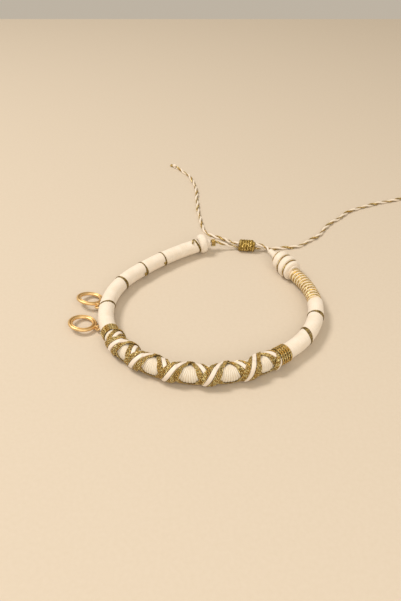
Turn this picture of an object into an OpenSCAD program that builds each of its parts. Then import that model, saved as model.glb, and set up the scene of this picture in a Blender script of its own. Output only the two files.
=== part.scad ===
// A woven anklet: a soft thread-bound band with crossed gold and white strips,
// two gold hoops, and two twisted cords that close it through a sliding knot.
// Millimetres. It lies on its side of wear, on the plane z = 0.

/* [Band] */
// Height of the band's axis above the surface
tube_z = 3.85; // [3.5:0.05:5]
// Radius of the hidden cotton core
core_r = 1.8; // [1.2:0.05:2.2]
// Radius of the bore of what is wound over the core
bore_r = 1.9; // [1.3:0.05:2.4]
// Radius of the white thread wraps
wrap_r = 2.8; // [2.4:0.05:3.2]
// Height of a gold turn over the white wraps
turn_t = 0.3; // [0.2:0.05:0.4]
// Radius over the gold collars
collar_r = 3.15; // [3:0.05:3.4]
// Gap left between neighbouring pieces
gap = 0.05; // [0.02:0.01:0.2]

/* [Crossed strips] */
// Thickness of a strip
strip_t = 0.42; // [0.2:0.02:0.6]
// Width of a strip along the band
strip_w = 1.7; // [1:0.05:2]
// Distance between neighbouring strips along the band
strip_pitch = 1.8; // [1.2:0.05:2.2]
// Distance from the band's wrap to the lower strips
strip_rise = 0.1; // [0.05:0.01:0.3]
// Angle of the front crossings above the outward direction
cross_angle = 16; // [0:1:45]

/* [Striped turns] */
// Radius over the striped turns
stripe_r = 2.6; // [2.3:0.05:3]
// Number of gold turns
stripe_count = 13; // [10:1:16]
// Width of a gold turn
stripe_d = 0.7; // [0.5:0.05:0.9]

/* [Bindings] */
// Largest radius of the left end's tapered binding
left_bulge_r = 3.75; // [3:0.05:3.8]
// Radius of the thickest coil of the right end's binding
right_coil_r = 4.4; // [3.5:0.05:4.5]
// Height of the right binding's axis above the band's axis
right_lift = 0.55; // [0.45:0.05:0.6]
// Radius of the gold thread between its coils
coil_thread_r = 0.22; // [0.15:0.01:0.25]

/* [Hoops] */
// Radius of a hoop, to the middle of its wire
hoop_r = 4.25; // [3:0.05:6]
// Radius of a hoop's wire
hoop_wire_r = 0.65; // [0.4:0.05:1]
// Radius of a hoop's soldered eye, to the middle of its wire
eye_r = 0.75; // [0.6:0.05:1]
// Radius of the eye's wire
eye_wire_r = 0.25; // [0.2:0.01:0.35]
// Distance from the eye's middle to the middle of the hoop's wire
eye_reach = 1.07; // [0.9:0.01:1.3]
// Radius of a jump ring, to the middle of its wire
jump_r = 1.2; // [1:0.05:1.6]
// Radius of a jump ring's wire
jump_wire_r = 0.27; // [0.2:0.01:0.35]
// Distance from the band's axis to a jump ring's middle
jump_out = 3.55; // [3.4:0.05:3.8]

/* [Cords] */
// Diameter of the closing cords
cord_d = 1.4; // [1:0.1:2]
// Length of the sliding knot
knot_len = 7; // [5:0.5:10]
// Radius of the sliding knot
knot_r = 2.5; // [2.2:0.1:3]
// Height between the two cords inside the knot
bore_rise = 1.7; // [1.6:0.05:2]

/* [Hidden] */
fine = 64;
ring_start = [7.74, 40.59];
ring_turn = 187.46;
ring_arcs = [[9, 22], [32, 95], [50, 33.5], [45, 36.5], [16, 57], [43, 33.5], [22.5, 600]];
arc_count = len(ring_arcs);
function from_of(i) = i == 0 ? 0 : from_of(i - 1) + ring_arcs[i - 1][0];
function swing(i, length) = length / ring_arcs[i][1] * 180 / PI;
function turn_of(i) = i == 0 ? ring_turn : turn_of(i - 1) + swing(i - 1, ring_arcs[i - 1][0]);
arc_from = [for (i = [0:arc_count]) from_of(i)];
arc_turn = [for (i = [0:arc_count]) turn_of(i)];
function step(i, a, b) = ring_arcs[i][1] * [sin(b) - sin(a), cos(a) - cos(b)];
function start_of(i) = i == 0 ? ring_start : start_of(i - 1) + step(i - 1, arc_turn[i - 1], arc_turn[i]);
arc_start = [for (i = [0:arc_count]) start_of(i)];
function arc_at(s, i = 0) = i == arc_count - 1 || s < arc_from[i + 1] ? i : arc_at(s, i + 1);
function turn_at(s) = let (i = arc_at(s)) arc_turn[i] + swing(i, s - arc_from[i]);
function centre(s) = let (i = arc_at(s)) arc_start[i] + step(i, arc_turn[i], turn_at(s));
function outward(s) = [sin(turn_at(s)), -cos(turn_at(s))];
function skin(s, angle, r) =
    let (c = centre(s), o = outward(s))
    [c.x + r * cos(angle) * o.x, c.y + r * cos(angle) * o.y, tube_z + r * sin(angle)];

// Places along the band, measured from its left end.
left_from = 8.3;
left_joints = [25.65, 35.9, 48, 63.25];
collar_1 = [77.2, 80.2];
collar_2 = [144.1, 148.45];
collar_gap = 0.2;
right_joints = [160.1, 171.3];
stripes = [179.85, 199.55];
stripe_gap = 0.07;
right_tip = 217;
core_ends = [4.1, 210.8];
cord_bore_r = 0.85;

// Gold turns over the wraps: middle, how far they lean and bend towards an angle, that angle,
// least width, added width and the angle where it is added.
left_turns = [
    [25.65, 0, 0, 0, 0.5, 0.6, 215], [35.9, 0, 0, 0, 0.6, 0.9, 210],
    [48, 0.1, 0, 150, 0.85, 0.5, 165], [63.2, 0.95, 0, 30, 0.6, 0.25, 130]];
right_bands = [[160.1, 1.5, 0, 188, 0.8, 0.9, 70], [171.3, 0, 0, 0, 0.5, 1.1, 45]];
left_end_turn = [8.6, 0, 1.1, 128, 0.85, 0, 0];

// Tied thread ends: place and angle of one end, then of the other, and radius.
thread_knots = [[11.4, 122, 10.3, 90, 0.35], [26.65, 170, 26.75, 188, 0.4], [37.3, 172, 37.25, 196, 0.42]];

// Coils of the right end's binding: from, to, radius, rounding and tilt.
right_coils = [
    [200.3, 202.3, right_coil_r - 0.1, 0.9, 7], [202.9, 206.2, right_coil_r, 1.2, 9],
    [206.85, 210.7, right_coil_r - 0.5, 1.3, 12]];
// Gold threads between the coils: place, radius and tilt.
right_threads = [[202.6, 4, 7], [206.5, 4, 11], [211.1, 3.15, 11]];

// Where the two bands of strips cross on the outer side.
crossings = [66.8, 76.4, 86.0, 96.2, 108.2, 120.4, 132.9, 144.0, 154, 164];
weave_from = collar_1[1] + collar_gap;
weave_to = collar_2[0] - collar_gap;
strip_base = wrap_r + strip_rise;
lift = strip_t + 0.1;

// A band's place after a number of turns, a smooth curve through the crossings.
function curve(a, b, c, d, t) =
    0.5 * (2 * b + (c - a) * t + (2 * a - 5 * b + 4 * c - d) * t * t + (3 * b - a - 3 * c + d) * t * t * t);
function place(u) =
    let (k = min(6, max(0, floor(u))))
    curve(crossings[k], crossings[k + 1], crossings[k + 2], crossings[k + 3], u - k);
// The lower band runs on faster beside the right collar.
function drift(u) = 1.2 * pow(max(0, u - 6), 2);
function turns_at(s, drifts = 0, low = 0, high = 7, n = 0) =
    n == 24 ? (low + high) / 2
    : let (mid = (low + high) / 2)
      place(mid) + drifts * drift(mid) < s ? turns_at(s, drifts, mid, high, n + 1)
      : turns_at(s, drifts, low, mid, n + 1);
function ease(x) = let (t = min(1, max(0, x))) t * t * (3 - 2 * t);
function squeeze(s) = ease(min(s - weave_from, weave_to - s) / 1.6 + 0.05);

// Distance along the band to the nearest lower band at this angle.
function apart(s, angle) =
    let (v = (cross_angle - angle) / 360, m = v - floor(v))
    min([for (k = [-1:7]) let (u = m + k) u < -0.5 || u > 7.5 ? 99 : abs(s - place(u) - drift(u))]);
function under_top(s) = strip_base + strip_t * (0.28 + 0.72 * squeeze(s));
function over_rise(s, angle) = 1 - ease((apart(s, angle) - 4) / 1.8);
function over_low(s, angle) =
    strip_base + (0.19 + (lift - 0.19) * squeeze(s)) * (1 - squeeze(s) * (1 - over_rise(s, angle)));
function over_top(s, angle) = over_low(s, angle) + strip_t * (0.42 + 0.58 * squeeze(s));

// One ring of a strip: six corners around its section, at one angle of the band.
function low_at(over, s, angle) = over ? over_low(s, angle) : strip_base;
function top_at(over, s, angle) = over ? over_top(s, angle) : under_top(s);
function mid_at(over, s, angle) = (low_at(over, s, angle) + top_at(over, s, angle)) / 2;
function strip_ring(over, from, to, angle) =
    let (a = max(weave_from, from), b = min(weave_to, to), inset = min(0.35, (b - a) / 4),
         c = a + inset, d = b - inset)
    [skin(c, angle, low_at(over, c, angle)), skin(d, angle, low_at(over, d, angle)),
     skin(b, angle, mid_at(over, b, angle)), skin(d, angle, top_at(over, d, angle)),
     skin(c, angle, top_at(over, c, angle)), skin(a, angle, mid_at(over, a, angle))];

// A closed tube through rings of the same number of points.
module sweep(rings) {
    n = len(rings[0]);
    m = len(rings);
    points = [for (ring = rings) for (p = ring) p];
    sides = [for (i = [0:m - 2]) for (j = [0:n - 1])
        [i * n + j, i * n + (j + 1) % n, (i + 1) * n + (j + 1) % n, (i + 1) * n + j]];
    first = [for (j = [n - 1:-1:0]) j];
    last = [for (j = [0:n - 1]) (m - 1) * n + j];
    polyhedron(points = points, faces = concat([first], sides, [last]), convexity = 10);
}

// A strip's edges lie at from and to, measured from the band's middle.
// The drifts say whether each edge follows the lower band's drift.
module strip(over, from, to, drifts = [0, 0]) {
    u0 = turns_at(weave_from + 0.3 - to);
    u1 = turns_at(weave_to - 0.3 - from, drifts[0]);
    n = ceil((u1 - u0) * (over ? 24 : 18));
    way = over ? 1 : -1;
    rings = [for (i = [0:n])
        let (u = u0 + (u1 - u0) * i / n, s = place(u), d = drift(u))
        strip_ring(over, s + from + drifts[0] * d, s + to + drifts[1] * d, cross_angle + way * 360 * u)];
    if (over) sweep(rings);
    else sweep([for (ring = rings) [for (j = [5:-1:0]) ring[j]]]);
}
strip_side = strip_w / 2;
strip_far = strip_pitch + strip_side;
strip_flare = 0.3;

// A closed loop round the band over its wraps, through rings of six points.
function loop_at(q, angle) =
    q[0] + q[1] * cos(angle - q[3]) + q[2] * pow(max(0, cos(angle - q[3])), 2);
function loop_width(q, angle) = q[4] + q[5] * pow(max(0, cos(angle - q[6])), 2);
function loop_ring(q, angle) =
    let (m = loop_at(q, angle), w = loop_width(q, angle) / 2, c = w - min(0.15, w / 2),
         low = wrap_r + gap, top = low + turn_t, mid = low + turn_t / 2)
    [skin(m - c, angle, low), skin(m + c, angle, low), skin(m + w, angle, mid),
     skin(m + c, angle, top), skin(m - c, angle, top), skin(m - w, angle, mid)];
loop_steps = 48;
module loop(q) {
    points = [for (i = [0:loop_steps - 1]) for (p = loop_ring(q, 360 * i / loop_steps)) p];
    polyhedron(
        points = points,
        faces = [for (i = [0:loop_steps - 1]) for (j = [0:5])
            let (k = (i + 1) % loop_steps) [i * 6 + j, i * 6 + (j + 1) % 6, k * 6 + (j + 1) % 6, k * 6 + j]],
        convexity = 10);
}

// A flat shape carried along the band's axis, x outward and y up, a little short at each arc's end.
nick = 0.05;
module along(s0, s1) {
    for (i = [0:arc_count - 1]) {
        a = max(s0, arc_from[i] + nick);
        b = min(s1, arc_from[i + 1] - nick);
        if (b > a + 0.001) {
            h = arc_turn[i] + swing(i, a - arc_from[i]);
            c = arc_start[i] + ring_arcs[i][1] * [-sin(arc_turn[i]), cos(arc_turn[i])];
            translate([c.x, c.y, tube_z])
                rotate([0, 0, h - 90])
                    rotate_extrude(angle = swing(i, b - a), $fn = fine)
                        translate([ring_arcs[i][1], 0]) children();
        }
    }
}

// The band's own frame: z runs along the band, x points down.
module at(s, rise = 0) {
    c = centre(s);
    translate([c.x, c.y, tube_z + rise]) rotate([0, 0, turn_at(s)]) rotate([0, 90, 0]) children();
}

// A round or hollow cord along the band's axis, whose arcs are joined by short rings.
module winding(s0, s1, r, inner = 0) {
    along(s0, s1) difference() {
        circle(r = r, $fn = fine);
        if (inner > 0) circle(r = inner, $fn = fine);
    }
    for (i = [1:arc_count - 1]) if (arc_from[i] > s0 + 0.5 && arc_from[i] < s1 - 0.5)
        at(arc_from[i]) rotate_extrude($fn = fine)
            translate([max(0, inner - 0.02), -0.2]) square([r - max(0, inner - 0.02) + 0.02, 0.4]);
}
module sleeve(s0, s1, r) winding(s0, s1, r, bore_r);

// A row of thread turns as one ridged ring from -length/2 to length/2.
module ridges(inner, outer, length, count) {
    d = length / count;
    r = 0.47 * d;
    rotate_extrude($fn = fine) {
        translate([inner, -length / 2]) square([outer - 0.75 * r - inner, length]);
        for (k = [0:count - 1])
            translate([outer - r, -length / 2 + d * (k + 0.5)]) circle(r = r, $fn = 24);
    }
}

// One thick coil with rounded shoulders, solid or with a bore.
module coil(s0, s1, r, round_r, inner = 0) {
    length = s1 - s0;
    rotate_extrude($fn = fine) {
        translate([inner, s0]) square([r - round_r - inner, length]);
        translate([inner, s0 + round_r]) square([r - inner, length - 2 * round_r]);
        translate([r - round_r, s0 + round_r]) circle(r = round_r, $fn = 24);
        translate([r - round_r, s1 - round_r]) circle(r = round_r, $fn = 24);
    }
}

module core_rope() color("#e9dfd0") winding(core_ends[0], core_ends[1], core_r);

left_edges = concat([left_from], left_joints, [collar_1[0] - collar_gap + gap / 2]);
module left_wrap(k) color("#f6efe4") difference() {
    sleeve(left_edges[k] + gap / 2, left_edges[k + 1] - gap / 2, wrap_r);
    if (k == 4) tunnel(hoop_poses[0]);
    if (k == 3) tunnel(hoop_poses[1]);
}
module left_gold_turn(k) color("#b08a3c") loop(left_turns[k]);

// A thread's end tied down: a short rod with bevelled ends, on the wrap.
module thread_knot(k) color("#a07c33") {
    q = thread_knots[k];
    r = q[4];
    reach = (wrap_r + 0.06 + r) / cos((q[3] - q[1]) / 2);
    a = skin(q[0], q[1], reach);
    b = skin(q[2], q[3], reach);
    t = b - a;
    h = norm(t);
    translate(a) rotate([0, 0, atan2(t.y, t.x)]) rotate([0, acos(t.z / h), 0])
        rotate_extrude($fn = fine)
            polygon([[0, -r], [0.6 * r, -0.9 * r], [r, 0], [r, h], [0.6 * r, h + 0.9 * r], [0, h + r]]);
}
module left_gold_collar() color("#b08a3c")
    at((collar_1[0] + collar_1[1]) / 2) ridges(bore_r, collar_r, collar_1[1] - collar_1[0], 6);
module front_base_wrap() color("#f6efe4") sleeve(weave_from, weave_to, wrap_r);
module right_gold_collar() color("#b08a3c")
    at((collar_2[0] + collar_2[1]) / 2) ridges(bore_r, collar_r, collar_2[1] - collar_2[0], 8);

right_edges = concat([collar_2[1] + collar_gap - gap / 2], right_joints, [stripes[0]]);
module right_wrap(k) color("#f6efe4")
    sleeve(right_edges[k] + gap / 2, right_edges[k + 1] - gap / 2, wrap_r);
module right_gold_band(k) color("#b08a3c") loop(right_bands[k]);

stripe_pitch = (stripes[1] - stripes[0] - stripe_d) / (stripe_count - 1);
module striped_gold_turns() color("#b08a3c")
    for (k = [0:stripe_count - 1])
        at(stripes[0] + stripe_d / 2 + k * stripe_pitch)
            coil((stripe_gap - stripe_d) / 2, (stripe_d - stripe_gap) / 2, stripe_r, 0.28, bore_r);
stripe_white = stripe_pitch - stripe_d - stripe_gap;
module striped_white_turns() color("#f6efe4")
    for (k = [0:stripe_count - 2])
        at(stripes[0] + stripe_d / 2 + (k + 0.5) * stripe_pitch)
            coil(-stripe_white / 2, stripe_white / 2, stripe_r, 0.3, bore_r);

// The right end's binding lies straight along the band's nearly straight end, its coils tilted inward.
right_mid = 208;
right_cord_lift = 0.45;
module tilted(s, tilt) translate([0, 0, s - right_mid]) rotate([-tilt, 0, 0]) children();
module right_end_binding() color("#f6efe4") difference() {
    at(right_mid, right_lift) {
        for (c = right_coils) tilted((c[0] + c[1]) / 2, c[4]) rotate([0, 0, 40])
            coil((c[0] - c[1]) / 2, (c[1] - c[0]) / 2, c[2], c[3]);
        translate([0, 0, 201.2 - right_mid]) cylinder(r = 3, h = 8.3, $fn = fine);
        rotate([0, 0, 70]) translate([0, 0, 209.6 - right_mid])
            cylinder(r1 = 2.92, r2 = 1.7, h = right_tip - 209.6, $fn = fine);
    }
    at(right_mid) translate([0, 0, 199 - right_mid]) cylinder(r = bore_r + 0.07, h = 12, $fn = fine);
    at(right_mid, right_cord_lift) translate([0, 0, 210.9 - right_mid])
        cylinder(r = cord_bore_r, h = 10, $fn = fine);
}
module right_binding_gold() color("#b08a3c") at(right_mid, right_lift)
    for (g = right_threads) tilted(g[0], g[2]) ring(g[1], coil_thread_r);

// The left end's binding: a narrow neck that swells to a bulge and falls to the gold turns.
left_mid = 5.5;
module left_end_binding() color("#f6efe4") difference() {
    at(left_mid) {
        coil(4.4 - left_mid, 7.8 - left_mid, left_bulge_r, 1.5);
        translate([0, 0, 2.65 - left_mid]) cylinder(r = 1.5, h = 0.8, $fn = fine);
        translate([0, 0, 3.1 - left_mid]) cylinder(r1 = 1.6, r2 = 3.2, h = 2, $fn = fine);
    }
    along(4.05, 8.5) circle(r = bore_r, $fn = fine);
    at(3.4) translate([0, 0, -2]) cylinder(r = cord_bore_r, h = 2.8, $fn = fine);
}
module left_binding_gold() color("#b08a3c") loop(left_end_turn);
module left_tip_gold() color("#b08a3c") at(1.1) ridges(cord_bore_r, 1.55, 1.7, 3);

// Hoops: place along the band, angle, turn of the jump ring's far side, slope and roll.
hoop_poses = [[72.1, -15, 32, 11.7, 4.6], [61.3, -10, 48, 13.8, 7.8]];
function radial(q) = let (o = outward(q[0])) [cos(q[1]) * o.x, cos(q[1]) * o.y, sin(q[1])];
function forward(q) = [cos(turn_at(q[0])), sin(turn_at(q[0])), 0];
function jump_middle(q) = let (c = centre(q[0])) [c.x, c.y, tube_z] + jump_out * radial(q);
function hang(q) = cos(q[2]) * radial(q) - sin(q[2]) * forward(q);
function eye_middle(q) = jump_middle(q) + jump_r * hang(q);
module jump_frame(q)
    translate(jump_middle(q)) rotate([0, 0, turn_at(q[0]) - 90]) rotate([0, -q[1], 0]) children();
module ring(r, wire) rotate_extrude($fn = fine) translate([r, 0]) circle(r = wire, $fn = 32);
module tunnel(q) jump_frame(q) ring(jump_r, jump_wire_r + 0.06);
module jump_ring(q) color("#c49a45") jump_frame(q) ring(jump_r, jump_wire_r);
module hoop(q) color("#c49a45")
    translate(eye_middle(q)) rotate([0, 0, atan2(hang(q).y, hang(q).x)]) rotate([q[4], q[3], 0]) {
        translate([eye_reach + hoop_r, 0, 0]) ring(hoop_r, hoop_wire_r);
        rotate([90, 0, 0]) ring(eye_r, eye_wire_r);
    }

// The closing cords, each a twisted cord swept through its route.
function unit(v) = v / norm(v);
function cord_ring(route, i) =
    let (n = len(route), t = unit(route[min(n - 1, i + 1)] - route[max(0, i - 1)]),
         side = unit(cross([0, 0, 1], t)), up = cross(t, side))
    [for (k = [7:-1:0]) route[i] + cord_d / 2 * (cos(22.5 + 45 * k) * side + sin(22.5 + 45 * k) * up)];
module cord_tube(route) sweep([for (i = [0:len(route) - 1]) cord_ring(route, i)]);

knot_middle = [20.8, 40.4, 2.5];
knot_turn = -6.5;
left_route = [
    [3.9, 39.7, 3.85], [6.3, 40.3, 3.85], [8.4, 40.7, 3.8], [11, 40.9, 3], [13.6, 41, 2.1],
    [16.2, 40.9, 1.65], [20.8, 40.4, 1.65], [25.4, 39.9, 1.65], [28, 40, 1.2], [31, 40.5, 0.8],
    [34, 41, 0.7], [37.5, 41.5, 0.7], [40.5, 42, 0.7], [43.5, 43, 0.7], [46, 45, 0.7],
    [48.5, 47.5, 0.7], [51.5, 50, 0.7], [54, 53, 0.7], [56, 56.5, 0.7], [58.5, 60.5, 0.7],
    [61.5, 64, 0.7], [64.5, 66.5, 0.7], [67, 69.5, 0.7], [69.5, 72.5, 0.7], [72.5, 74.5, 0.7],
    [76, 76.5, 0.7], [80, 78.5, 0.7], [84, 80.5, 0.7], [87.5, 82, 0.7], [91, 83, 0.7],
    [95, 84.5, 0.7], [98, 86, 0.7], [101.5, 88.5, 0.7]];
right_route = [
    [32.2, 28.5, 4.3], [30.3, 32.1, 4.3], [29.6, 33.5, 4.3], [28.9, 35.6, 4], [27.6, 38.3, 3.6],
    [25.4, 39.9, 3.35], [20.8, 40.4, 3.35], [16.2, 40.9, 3.35], [13.9, 43.5, 2.6], [12.2, 46.5, 1.6],
    [10, 49, 0.9],
    [7, 51, 0.7], [4.5, 53, 0.7], [3, 56, 0.7], [2, 60, 0.7], [1.5, 63.5, 0.7],
    [1, 67.5, 0.7], [0.5, 71.5, 0.7], [0, 75.5, 0.7], [0, 79.5, 0.7], [-0.5, 84, 0.7],
    [-0.5, 88, 0.7], [-0.5, 92, 0.7], [-1, 96, 0.7], [-1.5, 100, 0.7], [-2.5, 104, 0.7],
    [-3.5, 107.5, 0.7], [-5, 111.5, 0.7], [-7.5, 115, 0.7], [-9.5, 118.5, 0.7], [-11.5, 120.5, 0.7]];
module left_cord() color("#d9c49a") cord_tube(left_route);
module right_cord() color("#d9c49a") cord_tube(right_route);

module sliding_knot() color("#b08a3c") translate(knot_middle) rotate([0, 0, knot_turn]) rotate([0, 90, 0])
    difference() {
        ridges(0, knot_r, knot_len, 5);
        for (x = [-1, 1]) translate([x * bore_rise / 2, 0, -5]) cylinder(r = 0.77, h = 10, $fn = fine);
    }

// A cord's end: a frame whose z runs on along the cord from its last face.
module cord_end(route) {
    n = len(route);
    t = unit(route[n - 1] - route[n - 2]);
    translate(route[n - 1]) rotate([0, 0, atan2(t.y, t.x)]) rotate([0, 90, 0]) children();
}
module end_knot(route) color("#f6efe4") cord_end(route) difference() {
    translate([-0.45, 0, 1.05]) sphere(r = 1.15, $fn = fine);
    translate([-3, -3, -3]) cube([6, 6, 3.04]);
}
module end_tip(route) color("#b08a3c") cord_end(route)
    translate([0, 0, 3.2]) ridges(0, 0.68, 1.8, 3);

core_rope();
for (k = [0:4]) left_wrap(k);
for (k = [0:3]) left_gold_turn(k);
for (k = [0:2]) thread_knot(k);
left_gold_collar();
front_base_wrap();
right_gold_collar();
for (k = [0:2]) right_wrap(k);
for (k = [0:1]) right_gold_band(k);
striped_white_turns();
striped_gold_turns();
right_end_binding();
right_binding_gold();
left_end_binding();
left_binding_gold();
left_tip_gold();
color("#b08a3c")  // cross_under_gold_a
    strip(false, -strip_far - strip_flare, -strip_far + strip_w, [0, 1]);
color("#f6efe4")  // cross_under_white
    strip(false, -strip_side, strip_side, [1, 1]);
color("#b08a3c")  // cross_under_gold_b
    strip(false, strip_far - strip_w, strip_far, [1, 1]);
color("#b08a3c")  // cross_over_gold_a
    strip(true, -strip_far, -strip_far + strip_w);
color("#f6efe4") strip(true, -strip_side, strip_side);  // cross_over_white
color("#b08a3c")  // cross_over_gold_b
    strip(true, strip_far - strip_w, strip_far + strip_flare);
hoop(hoop_poses[0]);  // hoop_front
hoop(hoop_poses[1]);  // hoop_back
jump_ring(hoop_poses[0]);  // jump_ring_front
jump_ring(hoop_poses[1]);  // jump_ring_back
left_cord();
right_cord();
sliding_knot();
end_knot(left_route);  // left_cord_knot
end_knot(right_route);  // right_cord_knot
end_tip(left_route);  // left_cord_tip
end_tip(right_route);  // right_cord_tip
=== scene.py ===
"""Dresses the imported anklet: thread-bound band, crossed strips, hoops and closing cords.

Every shape is worked out in millimetres as whole numpy arrays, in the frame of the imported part, and goes
into Blender in metres. The band's axis is a chain of level arcs. Each wound piece is a surface or a thread
laid round that axis or round a straight line, and each finish is a small class that builds its own nodes.
"""
from __future__ import annotations

import enum
import logging
import math
from dataclasses import dataclass
from typing import Any, Callable, Sequence

import bmesh
import bpy
import numpy as np
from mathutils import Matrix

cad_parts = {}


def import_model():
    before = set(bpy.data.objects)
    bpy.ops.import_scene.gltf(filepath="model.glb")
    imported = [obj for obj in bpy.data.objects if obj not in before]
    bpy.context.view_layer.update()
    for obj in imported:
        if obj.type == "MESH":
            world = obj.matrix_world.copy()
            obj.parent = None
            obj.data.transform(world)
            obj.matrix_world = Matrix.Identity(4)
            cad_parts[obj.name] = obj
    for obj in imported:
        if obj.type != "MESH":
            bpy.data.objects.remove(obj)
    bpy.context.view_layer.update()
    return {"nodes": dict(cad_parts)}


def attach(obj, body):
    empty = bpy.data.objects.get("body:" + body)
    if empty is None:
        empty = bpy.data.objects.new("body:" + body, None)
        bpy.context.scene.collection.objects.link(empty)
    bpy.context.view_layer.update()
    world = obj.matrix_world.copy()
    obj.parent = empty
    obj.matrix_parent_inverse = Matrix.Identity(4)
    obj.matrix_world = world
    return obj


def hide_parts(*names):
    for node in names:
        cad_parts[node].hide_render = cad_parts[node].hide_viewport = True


LOG = logging.getLogger("anklet")
MM = 0.001
UP = np.array([0.0, 0.0, 1.0])
# Blender's wave texture repeats once in this length at a scale of 1.
WAVE_STEP = math.tau / 20
# Points nearer to each other than this, in metres, are made one.
MERGE_WITHIN = 2e-7

Array = np.ndarray
Outline = tuple[tuple[float, float], ...]
Route = tuple[tuple[float, float, float], ...]


class Twist(enum.Enum):
    """The way a thread's plies turn, named as spinners name it."""

    S = -1
    Z = 1

    @classmethod
    def by_turns(cls, number: int) -> Twist:
        """Z for an even thread and S for an odd one, so that neighbours slant opposite ways."""
        return cls.S if number % 2 else cls.Z


class Layer(enum.Enum):
    """Which of the two crossed bands of strips a strip belongs to."""

    UNDER = -1
    OVER = 1


class Slot(enum.Enum):
    """The record's material slots."""

    WHITE = "white_thread"
    GOLD = "gold_thread"
    CORD = "twisted_cord"
    METAL = "hoop_metal"


class Ruler(enum.Enum):
    """What a finish's pattern is measured on: the piece's own UV map in mm, or its frame in metres."""

    THREAD = "UV"
    FRAME = "Object"


# Colour and nodes


def linear(code: str) -> tuple[float, float, float, float]:
    """Turns an sRGB hex colour into Blender's linear one.

    Each channel c is c/12.92 below 0.04045 and ((c + 0.055) / 1.055) to the power 2.4 above it.

    Args:
        code: the colour as "#rrggbb".

    Returns:
        Linear red, green and blue, and an alpha of 1.
    """
    channels = [int(code[i : i + 2], 16) / 255 for i in (1, 3, 5)]
    lin = [c / 12.92 if c <= 0.04045 else ((c + 0.055) / 1.055) ** 2.4 for c in channels]
    return (lin[0], lin[1], lin[2], 1.0)


def add(
    tree: bpy.types.NodeTree, kind: str, inputs: dict[Any, Any], out: int | str = 0, **settings: Any
) -> bpy.types.NodeSocket | None:
    """Adds a shader node to a tree with its settings, values and links.

    Args:
        tree: the node tree.
        kind: Blender's name of the node type, without ShaderNode.
        inputs: each socket's name or number, with a value or another node's output for it.
        out: the output that is wanted.
        settings: the node's own properties.

    Returns:
        That output, or None from a node that has none.
    """
    made = tree.nodes.new(f"ShaderNode{kind}")
    for name, value in settings.items():
        setattr(made, name, value)
    for socket, value in inputs.items():
        if isinstance(value, bpy.types.NodeSocket):
            tree.links.new(value, made.inputs[socket])
        else:
            made.inputs[socket].default_value = value
    return made.outputs[out] if made.outputs else None


# Finishes


@dataclass(frozen=True)
class Finish:
    """What every finish shares: a name, what its pattern is measured on, and how its material is made."""

    name: str
    ruler: Ruler = Ruler.THREAD

    def sockets(self, tree: bpy.types.NodeTree, place: bpy.types.NodeSocket) -> dict[str, Any]:
        """Adds the finish's own nodes on the pattern's coordinates, and gives the shader's inputs."""
        raise NotImplementedError

    def material(self) -> bpy.types.Material:
        """Builds the node material."""
        made = bpy.data.materials.new(self.name)
        made.use_nodes = True
        tree = made.node_tree
        tree.nodes.clear()
        place = add(tree, "TexCoord", {}, self.ruler.value)
        shader = add(tree, "BsdfPrincipled", self.sockets(tree, place))
        add(tree, "OutputMaterial", {"Surface": shader})
        return made


@dataclass(frozen=True)
class CottonThread(Finish):
    """Mercerised cotton thread, wound tightly: matt to softly silky, creamy white, with painted shade between
    turns.
    """

    name: str = "cotton_thread"
    light: str = "#f3ece2"
    shade: str = "#dcc6a4"
    # How far the groove attribute's painted shade pulls the colour towards the shade colour.
    groove_tone: float = 0.35
    roughness: float = 0.72
    sheen: float = 0.25
    # Real fibres are 0.02 mm and can't show here, so the bundles of fibres are drawn 0.12 mm wide.
    fibre_mm: float = 0.12
    fibre_long_mm: float = 1.6
    # The yarn's own twist shows as lines this far apart, which slant by this much, in radians.
    twist_mm: float = 0.42
    slant: float = 0.62
    # Handling has left faint darker patches of about this size.
    patch_mm: float = 3.5
    bump_mm: float = 0.03

    def sockets(self, tree: bpy.types.NodeTree, place: bpy.types.NodeSocket) -> dict[str, Any]:
        """Draws fibres and the yarn's twist, painted shade in the grooves, and a tone that is darker in
        patches and streaks.
        """
        scale = (1 / self.fibre_mm, 1 / self.fibre_long_mm, 1)
        lengthwise = add(tree, "Mapping", {"Vector": place, "Scale": scale})
        grain = {"Vector": lengthwise, "Scale": 1.0, "Detail": 3.0, "Roughness": 0.6}
        fibre = add(tree, "TexNoise", grain, "Fac")
        slanted = add(tree, "Mapping", {"Vector": place, "Rotation": (0, 0, self.slant)})
        lines = {"Vector": slanted, "Scale": WAVE_STEP / self.twist_mm, "Distortion": 1.2}
        twist = add(tree, "TexWave", lines, "Fac", bands_direction="Y")
        patch = add(tree, "TexNoise", {"Vector": place, "Scale": 1 / self.patch_mm, "Detail": 2.0}, "Fac")
        # Painted shade: the groove attribute darkens the colour between turns and where threads touch.
        groove = add(tree, "Attribute", {}, "Fac", attribute_name="groove")
        tone = add(tree, "Math", {0: groove, 1: self.groove_tone}, operation="MULTIPLY", use_clamp=True)
        for cloud, low, high, most in ((patch, 0.35, 0.75, 0.24), (fibre, 0.3, 0.7, 0.2)):
            more = add(tree, "MapRange", {"Value": cloud, "From Min": low, "From Max": high, "To Max": most})
            tone = add(tree, "Math", {0: tone, 1: more}, operation="ADD", use_clamp=True)
        colours = {"Factor": tone, 6: linear(self.light), 7: linear(self.shade)}
        height = add(tree, "Math", {0: twist, 1: 0.5, 2: fibre}, operation="MULTIPLY_ADD")
        relief = {"Height": height, "Strength": 0.55, "Distance": self.bump_mm * MM}
        return {
            "Base Color": add(tree, "Mix", colours, 2, data_type="RGBA"),
            "Normal": add(tree, "Bump", relief),
            "Roughness": self.roughness,
            "Sheen Weight": self.sheen,
            "Sheen Roughness": 0.45,
            "Specular IOR Level": 0.35,
        }


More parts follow.
